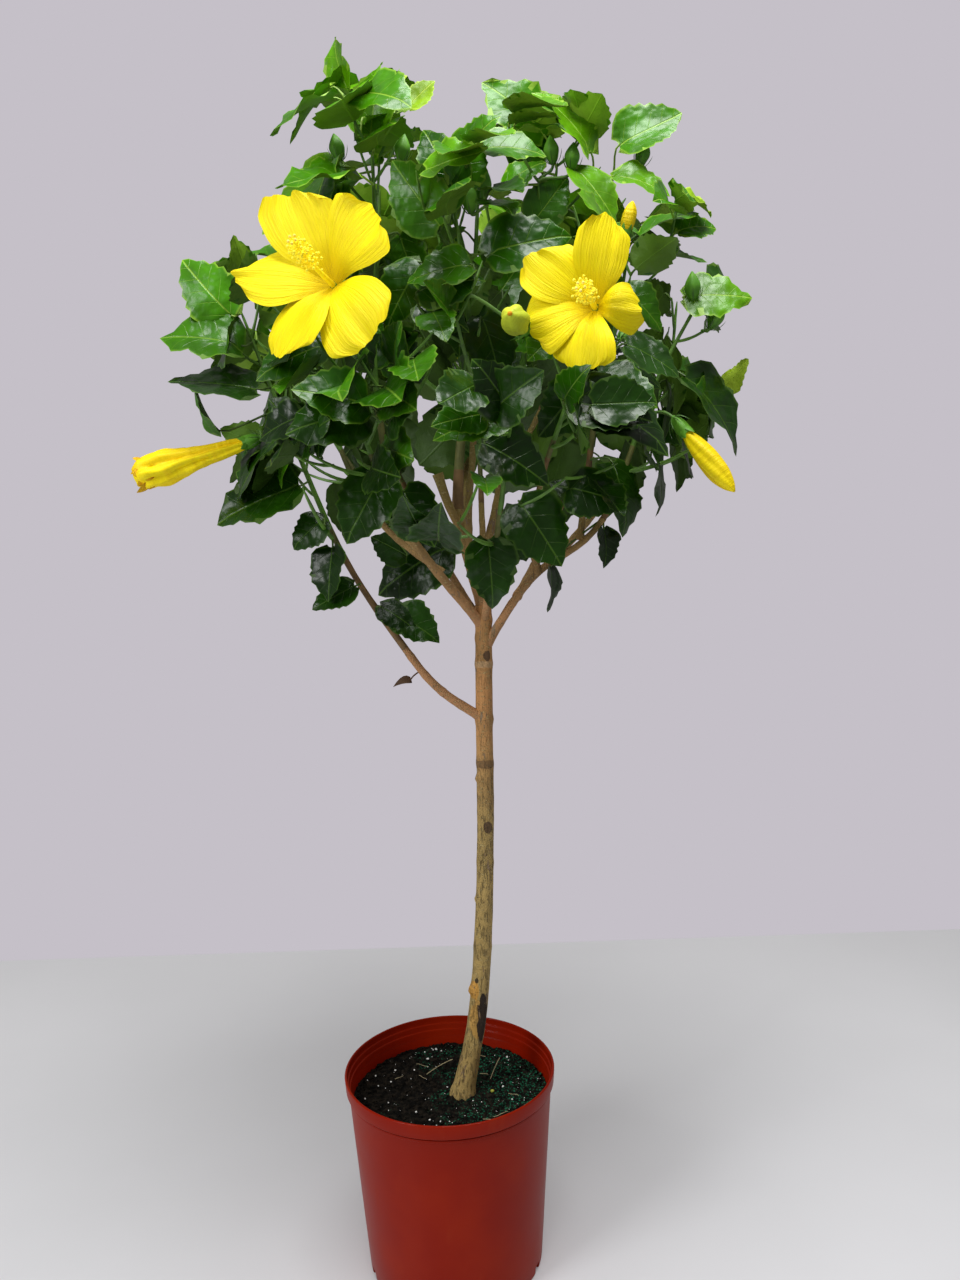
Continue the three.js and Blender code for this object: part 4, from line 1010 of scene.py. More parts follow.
# undersides of the same tones, darker and lighter with the same painted shade and light
UNDER = {
    "deep_and_shaded": paint(54, 84, 16), "mid": paint(80, 116, 24),
    "bright_and_lit": paint(124, 164, 34), "young": paint(166, 196, 50),
}

# ---- Pot and potting mix ----------------------------------------------------------------------


def spun(profile, steps, name):
    """A profile of radius and height turned once round the upright axis, its walls facing out."""
    bm = bmesh.new()
    corners = [bm.verts.new((r * MM, 0, z * MM)) for r, z in profile]
    for a, b in zip(corners, corners[1:]):
        bm.edges.new((a, b))
    bmesh.ops.spin(bm, geom=bm.verts[:] + bm.edges[:], cent=(0, 0, 0), axis=(0, 0, 1),
                   angle=2 * math.pi, steps=steps, use_merge=True)
    bmesh.ops.remove_doubles(bm, verts=bm.verts, dist=1e-6)
    bmesh.ops.recalc_face_normals(bm, faces=bm.faces)
    return mesh_of(bm, name)


def pot_wall(z):
    return mix(BASE_RADIUS, WALL_TOP_RADIUS, z / (POT_HEIGHT - BAND_HEIGHT))


def arc_of(centre, radius, start, end, count=5):
    """Points on a rounded edge, between two angles in degrees."""
    angles = [math.radians(mix(start, end, i / (count - 1))) for i in range(count)]
    return [(centre[0] + radius * math.cos(a), centre[1] + radius * math.sin(a)) for a in angles]


BASE_LIFT, STANDING_RING = 1.2, (14, 12)  # the base stands clear of the floor inside a ring
FOOT_ROUND, BAND_ROUND = 2, 0.8
NECK = ((0, -5), (0.7, -4.4), (0.7, -2.2), (-0.9, -1.8), (-0.9, 0))  # under the band, from the wall's top
DRAIN_DEPTH, DRAIN_ROUND = 14, 2


def pot_profile():
    """Half the pot's section: under its base, up its wall, over its rim and down inside."""
    band_foot = POT_HEIGHT - BAND_HEIGHT
    ring_in, ring_out = STANDING_RING
    profile = [(0, BASE_LIFT), (BASE_RADIUS - ring_in, BASE_LIFT), (BASE_RADIUS - ring_out, 0)]
    profile += arc_of((BASE_RADIUS - FOOT_ROUND, FOOT_ROUND), FOOT_ROUND, -90, 0)
    profile += [(pot_wall(z), z) for z in (30, 90, 150, 200)]
    profile += [(WALL_TOP_RADIUS + out, band_foot + up) for out, up in NECK]
    profile += arc_of((BAND_RADIUS - BAND_ROUND, band_foot + BAND_ROUND), BAND_ROUND, -90, 0, 4)
    profile += arc_of((RIM_RADIUS - LIP, POT_HEIGHT - LIP), LIP, 0, 180, 9)
    inner = RIM_RADIUS - 2 * LIP
    for drop in LEDGE_DROPS:
        height = POT_HEIGHT - drop
        narrower = pot_wall(height) - WALL if drop == LEDGE_DROPS[-1] else inner - LEDGE_STEP
        profile += [(inner, height + 0.5), (inner - 0.3, height), (narrower + 0.3, height - 0.6),
                    (narrower, height - 1.1)]
        inner = narrower
    profile += [(pot_wall(z) - WALL, z) for z in (150, 60)]
    floor_edge = pot_wall(POT_FLOOR) - WALL
    return profile + [(floor_edge - 1, POT_FLOOR + 1), (floor_edge - 3, POT_FLOOR), (0, POT_FLOOR)]


def pot():
    """The turned shell with its rim band, ledges and rounded lip, and drains cut round its foot."""
    shell = in_scene("pot_shell", spun(pot_profile(), 128, "pot_shell"))
    bm = bmesh.new()
    for i in range(DRAINS):
        cut = bmesh.ops.create_cube(bm, size=1)["verts"]
        bmesh.ops.scale(bm, vec=(DRAIN_DEPTH * MM, DRAIN_WIDTH * MM, 2 * DRAIN_HEIGHT * MM), verts=cut)
        bmesh.ops.translate(bm, vec=(BASE_RADIUS * MM, 0, 0), verts=cut)
        turn = Matrix.Rotation(2 * math.pi * (i + 0.5) / DRAINS, 3, "Z")
        bmesh.ops.rotate(bm, matrix=turn, cent=(0, 0, 0), verts=cut)
    tops = [e for e in bm.edges if min(v.co.z for v in e.verts) > 0]
    bmesh.ops.bevel(bm, geom=tops, offset=DRAIN_ROUND * MM, segments=3, profile=0.5, affect="EDGES",
                    material=-1)
    cutter = in_scene("drain_cuts", mesh_of(bm, "drain_cuts"))
    cut = shell.modifiers.new("drains", "BOOLEAN")
    cut.operation, cut.solver, cut.object = "DIFFERENCE", "EXACT", cutter
    bpy.context.view_layer.update()
    mesh = bpy.data.meshes.new_from_object(shell.evaluated_get(bpy.context.evaluated_depsgraph_get()))
    mesh.name = "pot_shell_cut"
    for spare in (shell, cutter):
        bpy.data.objects.remove(spare)
    mesh.materials.clear()
    mesh.materials.append(pot_finish())
    mesh.shade_smooth()
    mesh.set_sharp_from_angle(angle=math.radians(32))
    place_piece("nursery_pot", mesh, ["pot"])


SOIL_RINGS, SOIL_STEPS = 64, 220
LUMPS, HEAP, HEAP_REACH = 2.4, 3.5, 22  # relief of the crust, and the mix's height round the trunk


def soil():
    """The potting mix: a plain body with a crumbly crust, heaped a little round the trunk."""
    edge = pot_wall(SOIL_LEVEL - SOIL_DIP) - WALL - 0.4
    foot = pot_wall(POT_FLOOR) - WALL - 4
    profile = [(0, POT_FLOOR + GAP), (foot, POT_FLOOR + GAP), (edge, SOIL_LEVEL - SOIL_DIP)]
    for i in range(1, SOIL_RINGS + 1):
        radius = edge * (1 - i / SOIL_RINGS)
        dip = SOIL_DIP * max(0, (radius - edge + SOIL_EDGE) / SOIL_EDGE)
        profile.append((radius, SOIL_LEVEL - dip))
    mesh = spun(profile, SOIL_STEPS, "potting_mix")
    for corner in mesh.vertices:
        co = corner.co
        if co.z > (SOIL_LEVEL - SOIL_DIP - 0.5) * MM:
            lumps = noise.fractal(co * 130, 0.8, 2.0, 5)
            apart = math.hypot(co.x / MM - TRUNK_PATH[0][0], co.y / MM - TRUNK_PATH[0][1])
            co.z += (lumps * LUMPS + HEAP * math.exp(-(apart / HEAP_REACH) ** 2)) * MM
    mesh.materials.append(soil_finish())
    mesh.shade_smooth()
    place_piece("potting_mix", mesh, ["soil"])


def scattered(seed, count, reach, keep_off=17):
    """Seeded places over the mix, clear of the trunk's foot: x, y and a draw for the rest."""
    draw = seeded(seed)
    for _ in range(count):
        radius, angle = reach * math.sqrt(draw()), 2 * math.pi * draw()
        x, y = radius * math.cos(angle), radius * math.sin(angle)
        if math.hypot(x - TRUNK_PATH[0][0], y - TRUNK_PATH[0][1]) > keep_off:
            yield x, y, draw


STANDING_STRAWS = (((-30, 34, 199), (2, 40, 214)), ((58, 40, 214), (46, 20, 199)))
STRAW_REACH = 108


def pebble_shape():
    bm = bmesh.new()
    bmesh.ops.create_icosphere(bm, subdivisions=1, radius=1)
    return Shape(bm)


def strewn(seed, count, reach, sizes, power, widths, heights, level):
    """Crumbs strewn over the mix, each turned and squashed; most are near the smaller size."""
    bundle, pebble = Bundle(), pebble_shape()
    for x, y, draw in scattered(seed, count, reach):
        size = mix(*sizes, draw() ** power)
        turn = np.array(Matrix.Rotation(6 * draw(), 3, Vector((draw(), draw(), 1))))
        squash = np.array((1, mix(*widths, draw()), mix(*heights, draw())))
        bundle.add(pebble, (pebble.corners * squash * size) @ turn.T + (x, y, SOIL_LEVEL + level))
    return bundle


def crumbs():
    """Clods of mix, white grit, a yellow-green feed grain and straw lying on the crust."""
    pebble = pebble_shape()
    clods = strewn(71, 1500, 109, (0.7, 3.4), 2, (0.6, 1), (0.5, 0.9), 0.2)
    grit = strewn(72, 150, 106, (0.4, 1.7), 3, (0.7, 1), (0.6, 1), 1.2)
    grit.add(pebble, pebble.corners * (2.6, 2.2, 2.0) + (48, -6, SOIL_LEVEL + 1.5), 1)
    clods.piece("mix_clods", [soil_finish()], "soil", sharp=80)
    grit.piece("mix_grit", [plain_finish("white_grit", paint(250, 250, 246), 0.7),
                            plain_finish("feed_grain", paint(176, 178, 60), 0.6)], "soil", sharp=80)
    straws = Bundle()
    for x, y, draw in scattered(73, 13, 98, 24):
        angle, length = 2 * math.pi * draw(), mix(6, 20, draw())
        side = np.array((math.cos(angle), math.sin(angle), 0.0))
        start = np.array((x, y, SOIL_LEVEL + 1.4))
        lift = UP * mix(0.5, 4, draw())
        if np.hypot(*(start + side * length)[:2]) > STRAW_REACH:
            continue
        bow = np.cross(side, UP) * mix(-4, 4, draw())
        tube(straws, bend(start, start + side * length * 0.3 + bow, start + side * length * 0.7 + lift,
                          start + side * length + lift * 0.4, 6), [0.3] * 6, 4)
    for foot, tip in STANDING_STRAWS:
        foot, tip = np.array(foot, float), np.array(tip, float)
        line = bend(foot, mix(foot, tip, 0.3) + UP * 2, mix(foot, tip, 0.7) + UP * 2, tip, 6)
        tube(straws, line, [0.45] * 6, 4)
    straws.piece("mix_straw", [plain_finish("straw", paint(186, 170, 132), 0.8)], "soil")


# ---- Trunk and boughs -------------------------------------------------------------------------


TRUNK_SWELLS = ((583, 0.6), (694, 0.9), (722, 0.8), (742, 1.2), (632, 1.2), (470, 0.4), (372, 0.5))
SWELL_HEIGHT = 4.5
TRUNK_HOLLOWS = ((290, 4.9, 14, 2.0), (703, 5.1, 3, 2.4), (512, 4.9, 4, 1.2))  # z, angle, height, depth
SCAR_STEP, SCAR_REACH = 27, 3.0  # leaf scars along a bough


def trunk_relief(angle, points):
    """Knots, leaf-scar rings and fine furrows of the trunk's bark, in millimetres."""
    def around(where):
        return (angle - where + math.pi) % (2 * math.pi) - math.pi

    def on_bark(wide, tall):
        return [Vector((math.cos(a) * wide, math.sin(a) * wide, z * tall)) for a, z in zip(angle, height)]

    height = points[:, 2]
    relief = np.zeros(len(angle))
    for z, size, where in KNOTS:
        relief += 0.8 * size * np.exp(-((height - z) ** 2 + (around(where) * 10) ** 2) / (0.9 * size) ** 2)
    for z, swell in TRUNK_SWELLS:
        relief += swell * np.exp(-((height - z) / SWELL_HEIGHT) ** 2)
    for z, where, tall, depth in TRUNK_HOLLOWS:
        relief -= depth * np.exp(-((height - z) / tall) ** 2 - (around(where) / 0.35) ** 2)
    relief += 0.55 * np.array([noise.fractal(p, 1.0, 2.0, 4) for p in on_bark(2.6, 0.02)])
    relief += 0.3 * np.array([noise.noise(p) for p in on_bark(7, 0.05)])
    return relief


def trunk():
    bundle = Bundle()
    path = Path(TRUNK_PATH)
    shares = np.linspace(0, 1, 200)
    points = [path.at(share) for share in shares]
    points[0] = points[0] - UP * 3
    radii = [table_value(TRUNK_RADII, share) for share in shares]
    tube(bundle, points, radii, 28, 0, trunk_relief)
    finish = bark_finish("trunk_bark", paint(180, 152, 90), paint(196, 142, 86), (0.56, 0.7))
    bundle.piece("trunk_bark", [finish], "bark", ["trunk"], sharp=80)


def bough_relief(angle, points):
    """Light furrows along a bough, in millimetres."""
    turns = [Vector((math.cos(a), math.sin(a), 0)) for a in angle]
    places = [Vector(point * 0.06) + turn for turn, point in zip(turns, points)]
    return 0.28 * np.array([noise.fractal(p, 1.0, 2.0, 3) for p in places])


def bough_bark():
    """Every bough from inside its parent to its tip, where the stem of its mass goes on."""
    bundle = Bundle()
    for shoot in SHOOTS:
        path, cut, _, radius_at = boughs[shoot.name]
        rings = 44 if shoot.bare > 2 else 28
        shares = np.linspace(0, 1, rings)
        points = np.array([path.at(share * cut) for share in shares])
        radii = np.array([radius_at(share) for share in shares])
        radii += 0.35 * np.exp(-(((walked(points) + 9) % SCAR_STEP - 13) / SCAR_REACH) ** 2)
        tube(bundle, points, radii, 12, 0, bough_relief)
    shares = np.linspace(0, 1, 16)
    points = [Path(STUB_PATH).at(share) for share in shares]
    lip = 0.9 * np.exp(-((shares - 1) / 0.12) ** 2)
    tube(bundle, points, STUB_RADIUS * (1 + STUB_SWELL * shares) + lip, 12, 0, bough_relief)
    finish = bark_finish("bough_bark", paint(188, 138, 92), paint(146, 130, 66), (0.78, 0.97), 0.3)
    nodes = ["leader_stub"] + ["bough_" + shoot.name for shoot in SHOOTS]
    bundle.piece("bough_bark", [finish], "young_bark", nodes, sharp=80)


# ---- Leaves and twigs -------------------------------------------------------------------------

BLADE_WIDTH = ((0, 0.3), (0.05, 0.64), (0.15, 0.92), (0.3, 1.0), (0.45, 0.97), (0.6, 0.84), (0.75, 0.62),
               (0.88, 0.34), (1, 0))
BLADE_CELLS = 7
THICKNESS = 0.006  # of the blade's length, at each side of its middle
TEETH_FROM, TOOTH, NOTCH, TOOTH_LEAN = 0.3, 1.045, 0.94, 0.011
YOUNG_LENGTH, OUTWARD_TURN = 42, 0.8
PETAL_CLEAR, TWIG_GONE = 5, 3  # room to an open petal, and to a twig that ended short of one


def close_back(bm):
    """Gives a sheet its other side: corners of height 0 are shared, and the rest are mirrored."""
    back = bmesh.ops.duplicate(bm, geom=bm.verts[:] + bm.edges[:] + bm.faces[:])["geom"]
    faces = [part for part in back if isinstance(part, bmesh.types.BMFace)]
    for part in back:
        if isinstance(part, bmesh.types.BMVert):
            part.co.z = -part.co.z
    bmesh.ops.reverse_faces(bm, faces=faces)
    for face in faces:
        face.material_index = 1
    bmesh.ops.remove_doubles(bm, verts=bm.verts, dist=1e-5)
    return Shape(bm)


def blade_shape():
    """A leaf blade: a grid cut to a pointed oval with rounded lobes at its foot and small teeth.
    A corner holds the share along, the place across as a share of the length, and the side."""
    bm = bmesh.new()
    bmesh.ops.create_grid(bm, x_segments=BLADE_CELLS, y_segments=4, size=1)
    rim = [e for e in bm.edges if all(abs(v.co.y) > 0.99 for v in e.verts)]
    bmesh.ops.subdivide_edges(bm, edges=rim, cuts=1)
    for corner in bm.verts:
        u, v = (corner.co.x + 1) / 2, corner.co.y
        across = v * HALF_WIDTH * table_value(BLADE_WIDTH, u)
        on_rim = abs(v) > 0.99
        if on_rim and TEETH_FROM < u < 0.99:
            tooth = round(u * 2 * BLADE_CELLS) % 2 == 1
            across *= TOOTH if tooth else NOTCH
            u += TOOTH_LEAN if tooth else -TOOTH_LEAN
        side = 0 if on_rim or u < 0.01 or u > 0.99 else 1
        u -= 0.07 * v * v * max(0, 1 - u / 0.16)
        corner.co = (u, across, side)
    return close_back(bm)


def leaf_tone(leaf, draw):
    """Young at the tips of the upper head; lighter greens on its top and outside as painted light, darker
    greens inside and low down as painted shade, with some chance in each.
    """
    depth = np.linalg.norm((leaf.foot - HEAD_CENTRE) / HEAD_RADII)
    height = (leaf.foot[2] - HEAD_CENTRE[2]) / HEAD_RADII[2]
    light = height + 0.9 * (depth - 0.62) + 0.5 * (draw() - 0.5)
    if leaf.length < YOUNG_LENGTH and light > 0.3:
        return "young"
    if light > 0.5:
        return "bright_and_lit"
    return "mid" if light > 0.0 else "deep_and_shaded"


def leaf_lift(u, y, rim, draw):
    """The height of a blade over its flat: folded, drooping, cupped and wavy, no two alike."""
    fold, droop = mix(0.05, 0.42, draw()), mix(0.08, 0.34, draw())
    wave, phase, periods = mix(0.018, 0.054, draw()), 2 * math.pi * draw(), mix(1.2, 2.6, draw())
    twist, curl = 0.5 * (draw() - 0.5), mix(-0.02, 0.07, draw())
    ripple = np.sin(2 * math.pi * periods * u + phase + 0.8 * np.sign(y))
    return (fold * np.abs(y) - droop * u ** 2 + wave * ripple * rim ** 1.5 + twist * u * y
            - curl * rim ** 3)


def settled(leaf):
    """The leaf with its face turned a little outwards, to the light beside the head."""
    out = outwards(leaf.foot) * (1, 1, 0)
    face = leaf.normal + out * OUTWARD_TURN
    normal = unit(face - leaf.forward * face.dot(leaf.forward))
    return leaf._replace(normal=normal, across=np.cross(normal, leaf.forward))


def end_twigs_at_petals(petal_tree):
    """Cuts each twig that runs into a petal; gives back the places it no longer reaches."""
    gone = [np.zeros(3)]
    shares = np.linspace(0, 1, 25)
    for mass in masses.values():
        for axis in list(mass["axes"][1:]):
            own = np.linspace(0, 1, len(axis.points))
            line = np.column_stack([np.interp(shares, own, axis.points[:, i]) for i in range(3)])
            hits = np.nonzero([petal_tree.find(point)[2] < PETAL_CLEAR for point in line])[0]
            if len(hits) == 0:
                continue
            last = hits[0] - 2
            gone.extend(line[max(0, last):])
            if last < 6:
                mass["axes"].remove(axis)
                continue
            kept = own * shares[last]
            axis.points = np.column_stack([np.interp(kept, own, axis.points[:, i]) for i in range(3)])
            axis.radii = np.interp(kept, own, axis.radii)
    return np.array(gone)


STALK_RADII = (1.5, 1.2, 1.1, 1.1, 0.9)


def leaves_and_stalks(petal_tree):
    gone = end_twigs_at_petals(petal_tree)
    blade = blade_shape()
    u, y, side = blade.corners.T
    width = HALF_WIDTH * np.interp(u, *np.array(BLADE_WIDTH).T)
    rim = np.where(side == 0, 1, np.minimum(1, np.abs(y) / np.maximum(width, 0.01)))
    bundles = {tone: Bundle() for tone in TONES}
    stalks = Bundle()
    draw = seeded(501)
    for shoot in SHOOTS:
        for leaf in map(settled, masses[shoot.name]["leaves"]):
            tone = leaf_tone(leaf, draw)
            lift = leaf_lift(u, y, rim, draw) + THICKNESS * side
            across = y * mix(0.88, 1.1, draw()) + 0.1 * (draw() - 0.5) * u * u
            places = leaf.foot + leaf.length * (np.outer(u, leaf.forward) + np.outer(across, leaf.across)
                                                + np.outer(lift, leaf.normal))
            line = [mix(leaf.root, leaf.foot, share) for share in (0.5, 0.75, 1)]
            if any(petal_tree.find(place)[2] < PETAL_CLEAR for place in [*places, *line]):
                continue
            if np.linalg.norm(gone - leaf.root, axis=1).min() < TWIG_GONE:
                continue
            upper = 0 if draw() < 0.5 else 2
            tints = [1 if tint else upper for tint in blade.tints]
            bundles[tone].add(blade, places, tints, np.column_stack((u, y, rim)))
            reach = np.linalg.norm(leaf.foot - leaf.root)
            into = leaf.foot - leaf.forward * min(8, reach * 0.3)
            points = bend(leaf.root, mix(leaf.root, leaf.foot, 0.35) + UP * 0.06 * reach, into,
                          leaf.foot + leaf.forward * 1.5, len(STALK_RADII))
            # stalks of young and lit leaves get the lighter green: the young stalks' own colour, and
            # painted light on the lit ones
            tube(stalks, points, STALK_RADII, 5, 0 if tone in ("deep_and_shaded", "mid") else 1)
    for tone, (first, second, vein, roughness, coat) in TONES.items():
        finishes = [leaf_finish(f"leaf_{tone}_dim", first, vein, roughness, coat),
                    under_leaf("leaf_underside_" + tone, UNDER[tone]),
                    leaf_finish(f"leaf_{tone}_clear", second, vein, roughness, coat)]
        bundles[tone].piece("leaves_" + tone, finishes, "foliage", FOLIAGE_NODES, sharp=75)
    stalks.piece("leaf_stalks", [stem_finish("stalk_green", paint(86, 116, 40), paint(64, 92, 32)),
                                 stem_finish("stalk_young_and_lit", paint(144, 178, 60), paint(116, 152, 48))],
                 "foliage", FOLIAGE_NODES)


STEM_LINE, STEM_SIDES, TWIG_LINE, TWIG_SIDES = 26, 8, 9, 6
OLIVE_FROM, GREEN_FROM = 0.22, 0.42  # a stem is brown before these, counted up its length and height


def stem_line(shoot, stem):
    """Points and radii up a mass's stem, from inside its bough's tip."""
    path, cut, tip, _ = boughs[shoot.name]
    shares = np.linspace(0, 1, STEM_LINE)
    points = np.array([path.at(mix(cut, 1, share)) for share in shares])
    points[0] -= stem.alongs[0] * 2
    return points, mix(tip, TWIG_TIP, shares)


def twig_line(twig):
    """Points and radii on the bend through a twig's three rings."""
    s = np.linspace(0, 1, TWIG_LINE)[:, None]
    foot, middle, end = twig.points
    points = foot * (1 - s) * (1 - 2 * s) + middle * 4 * s * (1 - s) + end * s * (2 * s - 1)
    return points, np.interp(s[:, 0], np.linspace(0, 1, TWIG_RINGS), twig.radii)


def twigs():
    """The stems and side twigs: brown at their foot, then olive, then green."""
    bundle = Bundle()
    for shoot in SHOOTS:
        for index, axis in enumerate(masses[shoot.name]["axes"]):
            points, radii = twig_line(axis) if index else stem_line(shoot, axis)
            sides = TWIG_SIDES if index else STEM_SIDES
            walk = walked(points)
            radii = radii + 0.3 * np.exp(-((walk % LEAF_STEP - 10) / 2.5) ** 2)
            radii[-1] *= 0.4
            age = walk / walk[-1] + (0.35 if index else 0.0) + 0.6 * ((points[:, 2] - 850) / 400)
            shape = tube_shape(sides, len(points))
            middles = [np.mean([shape.corners[i][2] for i in face]) + 0.5 for face in shape.faces]
            ages = np.interp(middles, np.linspace(0, 1, len(points)), age)
            tube(bundle, points, radii, sides, [int(a > OLIVE_FROM) + int(a > GREEN_FROM) for a in ages])
    finishes = [stem_finish("twig_brown", paint(132, 102, 62), paint(104, 80, 48), 0.75),
                stem_finish("twig_olive", paint(112, 112, 56), paint(88, 92, 44), 0.65),
                stem_finish("twig_green", paint(100, 146, 50), paint(78, 118, 40), 0.5)]
    bundle.piece("twigs", finishes, "foliage", FOLIAGE_NODES)


# ---- Blossom ----------------------------------------------------------------------------------

PETAL_WIDTH = ((0, 1), (0.7, 1), (0.88, 0.93), (1, 0.64))  # share of the petal's own half width
PETAL_RISE = ((0, -THROAT), (0.1, -14), (0.25, -5), (0.5, 2), (0.8, 5), (1, 5))
PETAL_BASE, PETAL_FAN = 3, 0.82  # where a petal starts, and how fast it widens from there


def sheet_shape(along, across):
    """A closed sheet: a corner holds the share along, the share across, and the side."""
    bm = bmesh.new()
    bmesh.ops.create_grid(bm, x_segments=along, y_segments=across, size=1)
    for corner in bm.verts:
        rim = abs(corner.co.y) > 0.99 or abs(corner.co.x) > 0.99
        corner.co = ((corner.co.x + 1) / 2, corner.co.y, 0 if rim else 1)
    return close_back(bm)


def smooth_table(rows, at):
    """Values of a table at many places, eased between its rows."""
    xs, ys = np.array(rows, float).T
    slopes = np.gradient(ys, xs)
    i = np.clip(np.searchsorted(xs, at) - 1, 0, len(xs) - 2)
    span = xs[i + 1] - xs[i]
    w = np.clip((at - xs[i]) / span, 0, 1)
    return ((2 * w ** 3 - 3 * w ** 2 + 1) * ys[i] + (w ** 3 - 2 * w ** 2 + w) * span * slopes[i]
            + (3 * w ** 2 - 2 * w ** 3) * ys[i + 1] + (w ** 3 - w ** 2) * span * slopes[i + 1])


Petal = namedtuple("Petal", "turn reach half_width lift point skew fold")
# For each open flower, its petals: the turn in degrees, the reach, the half width, how far the tip
# stands forward, how pointed it is, how much further one corner reaches, and how far its edges fold.
FLOWER_FORMS = {
    (-77, -188, 1066): ((345, 70, 43, 8, 0, 0, 1), (57, 80, 36, 17, 0, 11, 2),
                        (122, 82, 30, 16, 0.65, 2, 7), (190, 82, 30, 5, 0.15, -4, 8),
                        (253, 84, 40, -4, 0, 0, 4)),
    (158, -188, 1036): ((166, 73, 24, 4, 0.05, 2, 4), (228, 69, 30, 6, 0.2, 6, 3),
                        (286, 60, 35, 2, 0, 0, 8), (350, 62, 31, 0, 0, 0, 3),
                        (80, 43, 24, -14, 0.1, -5, 14)),
    (66, 212, 1086): ((12, 72, 38, 6, 0, 0, 2), (84, 74, 34, 10, 0.2, 4, 4), (156, 70, 38, 4, 0, 0, 2),
                      (228, 73, 33, 0, 0.2, -3, 5), (300, 71, 37, 8, 0, 2, 3)),
}


def stance(bloom):
    """Where a flower or bud sits, where it looks, and its length."""
    return np.array(bloom.at, float), unit(bloom.face), bloom.length


def petal_places(bloom_centre, look, petal, corners, draw):
    """The places of a petal's corners: a fan out of the throat, ruffled and creased towards its rim."""
    s, t, side = corners
    spoke = turned(look, math.radians(petal.turn))
    tangent = np.cross(look, spoke)
    radius = mix(PETAL_BASE, petal.reach, s) - (7 + 9 * petal.point) * s ** 3 * t ** 2
    radius += petal.skew * t * s ** 2
    fan = radius * PETAL_FAN + 1.5
    own = petal.half_width * smooth_table(PETAL_WIDTH, s)
    own *= 1 - 0.62 * petal.point * np.clip((s - 0.5) / 0.5, 0, 1) ** 1.5
    width = (fan ** -5.0 + own ** -5.0) ** -0.2
    a, b, c = 6.28 * draw(), 6.28 * draw(), mix(0.8, 1.2, draw())
    radius = radius + s ** 3 * (1.5 * np.sin(4.5 * t + a) + 1.0 * np.sin(11 * t + b))
    rise = smooth_table(PETAL_RISE, s) + (petal.lift - 5) * s ** 2 - petal.fold * t ** 2 * s
    rise += 4.5 * t * np.minimum(1, 2 * s)
    rise += c * s ** 3 * (2.6 * np.sin(3.4 * t + b) + 1.5 * np.sin(8.5 * t + a) + 0.7 * np.sin(19 * t + b))
    rise += 0.8 * s * (1 - 0.4 * s) * np.cos(13 * t + a) - 2.0 * np.exp(-(t / 0.12) ** 2) * s * (1.1 - s)
    rise += 0.35 * side * (0.4 + 0.6 * (1 - s))
    return bloom_centre + np.outer(radius, spoke) + np.outer(width * t, tangent) + np.outer(rise, look)


def open_flower(bloom, petals, heart, calyx, draw):
    """Five petals of their own forms round a stamen column, on a green cup."""
    centre, look, _ = stance(bloom)
    shape = sheet_shape(22, 18)
    s, t, side = shape.corners.T
    rim = np.maximum(np.abs(t), np.clip((s - 0.8) / 0.2, 0, 1) ** 2)
    for row in FLOWER_FORMS[bloom.at]:
        places = petal_places(centre, look, Petal(*row), (s, t, side), draw)
        petals.add(shape, places, 0, np.column_stack((s, t, rim)))
    base = centre - look * (THROAT + 22)
    column(centre, look, heart, draw)
    cup(base, look, 20, 10, calyx, 9)
    flower_stalk(bloom, base + look * 4, look, calyx, 1.8)


ANTHERS, ANTHER_SPAN, COLUMN_RINGS = 96, (0.5, 0.96), 16
SEPALS, STIGMAS = 5, 5


def column(centre, look, heart, draw):
    """The stamen column: a bowed tube set with filaments and anthers, and five stigma pads."""
    bow = square_to(look)[0] * 4
    start, end = centre - look * THROAT, centre + look * COLUMN * 0.94 + bow
    points = bend(start, centre, centre + look * COLUMN * 0.5, end, COLUMN_RINGS)
    tube(heart, points, np.linspace(2.8, 1.3, COLUMN_RINGS), 10, 0)
    pebble = pebble_shape()
    for k in range(ANTHERS):
        at = mix(*ANTHER_SPAN, k / ANTHERS) * (COLUMN_RINGS - 1)
        place = mix(points[int(at)], points[int(at) + 1], at % 1)
        out = unit(turned(look, k * GOLDEN_ANGLE) + look * mix(-0.1, 0.8, draw()))
        tip = place + out * mix(5, 11, draw())
        tube(heart, [place, mix(place, tip, 0.5) + look * 0.4, tip], [0.4, 0.35, 0.3], 4, 0)
        heart.add(pebble, pebble.corners * mix(1.1, 1.6, draw()) + tip, 1)
    for out in spokes(look, STIGMAS):
        tip = end + unit(out * 0.75 + look) * 6
        tube(heart, [end, mix(end, tip, 0.5), tip], [0.6, 0.5, 0.5], 5, 0)
        heart.add(pebble, pebble.corners * 1.5 + tip, 2)


SPINDLE_RINGS = 30


def lobed(bundle, base, look, rows, sides, lobes, depth, twist, tint, crumple=0.0):
    """A spindle turned about a line, with lobes that wind round it, and crumples if it has faded."""
    first, last = rows[0][0], rows[-1][0]
    along = np.linspace(first, last, SPINDLE_RINGS)
    points = base + np.outer(along, look)
    radii = np.maximum(smooth_table(rows, along), 0.2)

    def relief(angle, places):
        share = ((places - base) @ look - first) / (last - first)
        size = np.interp(share, np.linspace(0, 1, SPINDLE_RINGS), radii)
        turn = lobes * angle + twist * share
        wave = depth * size * (np.abs(np.sin(turn / 2)) - 0.6)
        if crumple:
            folds = [noise.fractal(Vector((math.cos(a) * 2.2 + 3, math.sin(a) * 2.2, q * 5)), 1, 2, 3)
                     for a, q in zip(angle, share)]
            wave += crumple * np.array(folds) * np.minimum(1, 2 * share) * size / 10
        return wave

    tube(bundle, points, radii, sides, tint, relief)


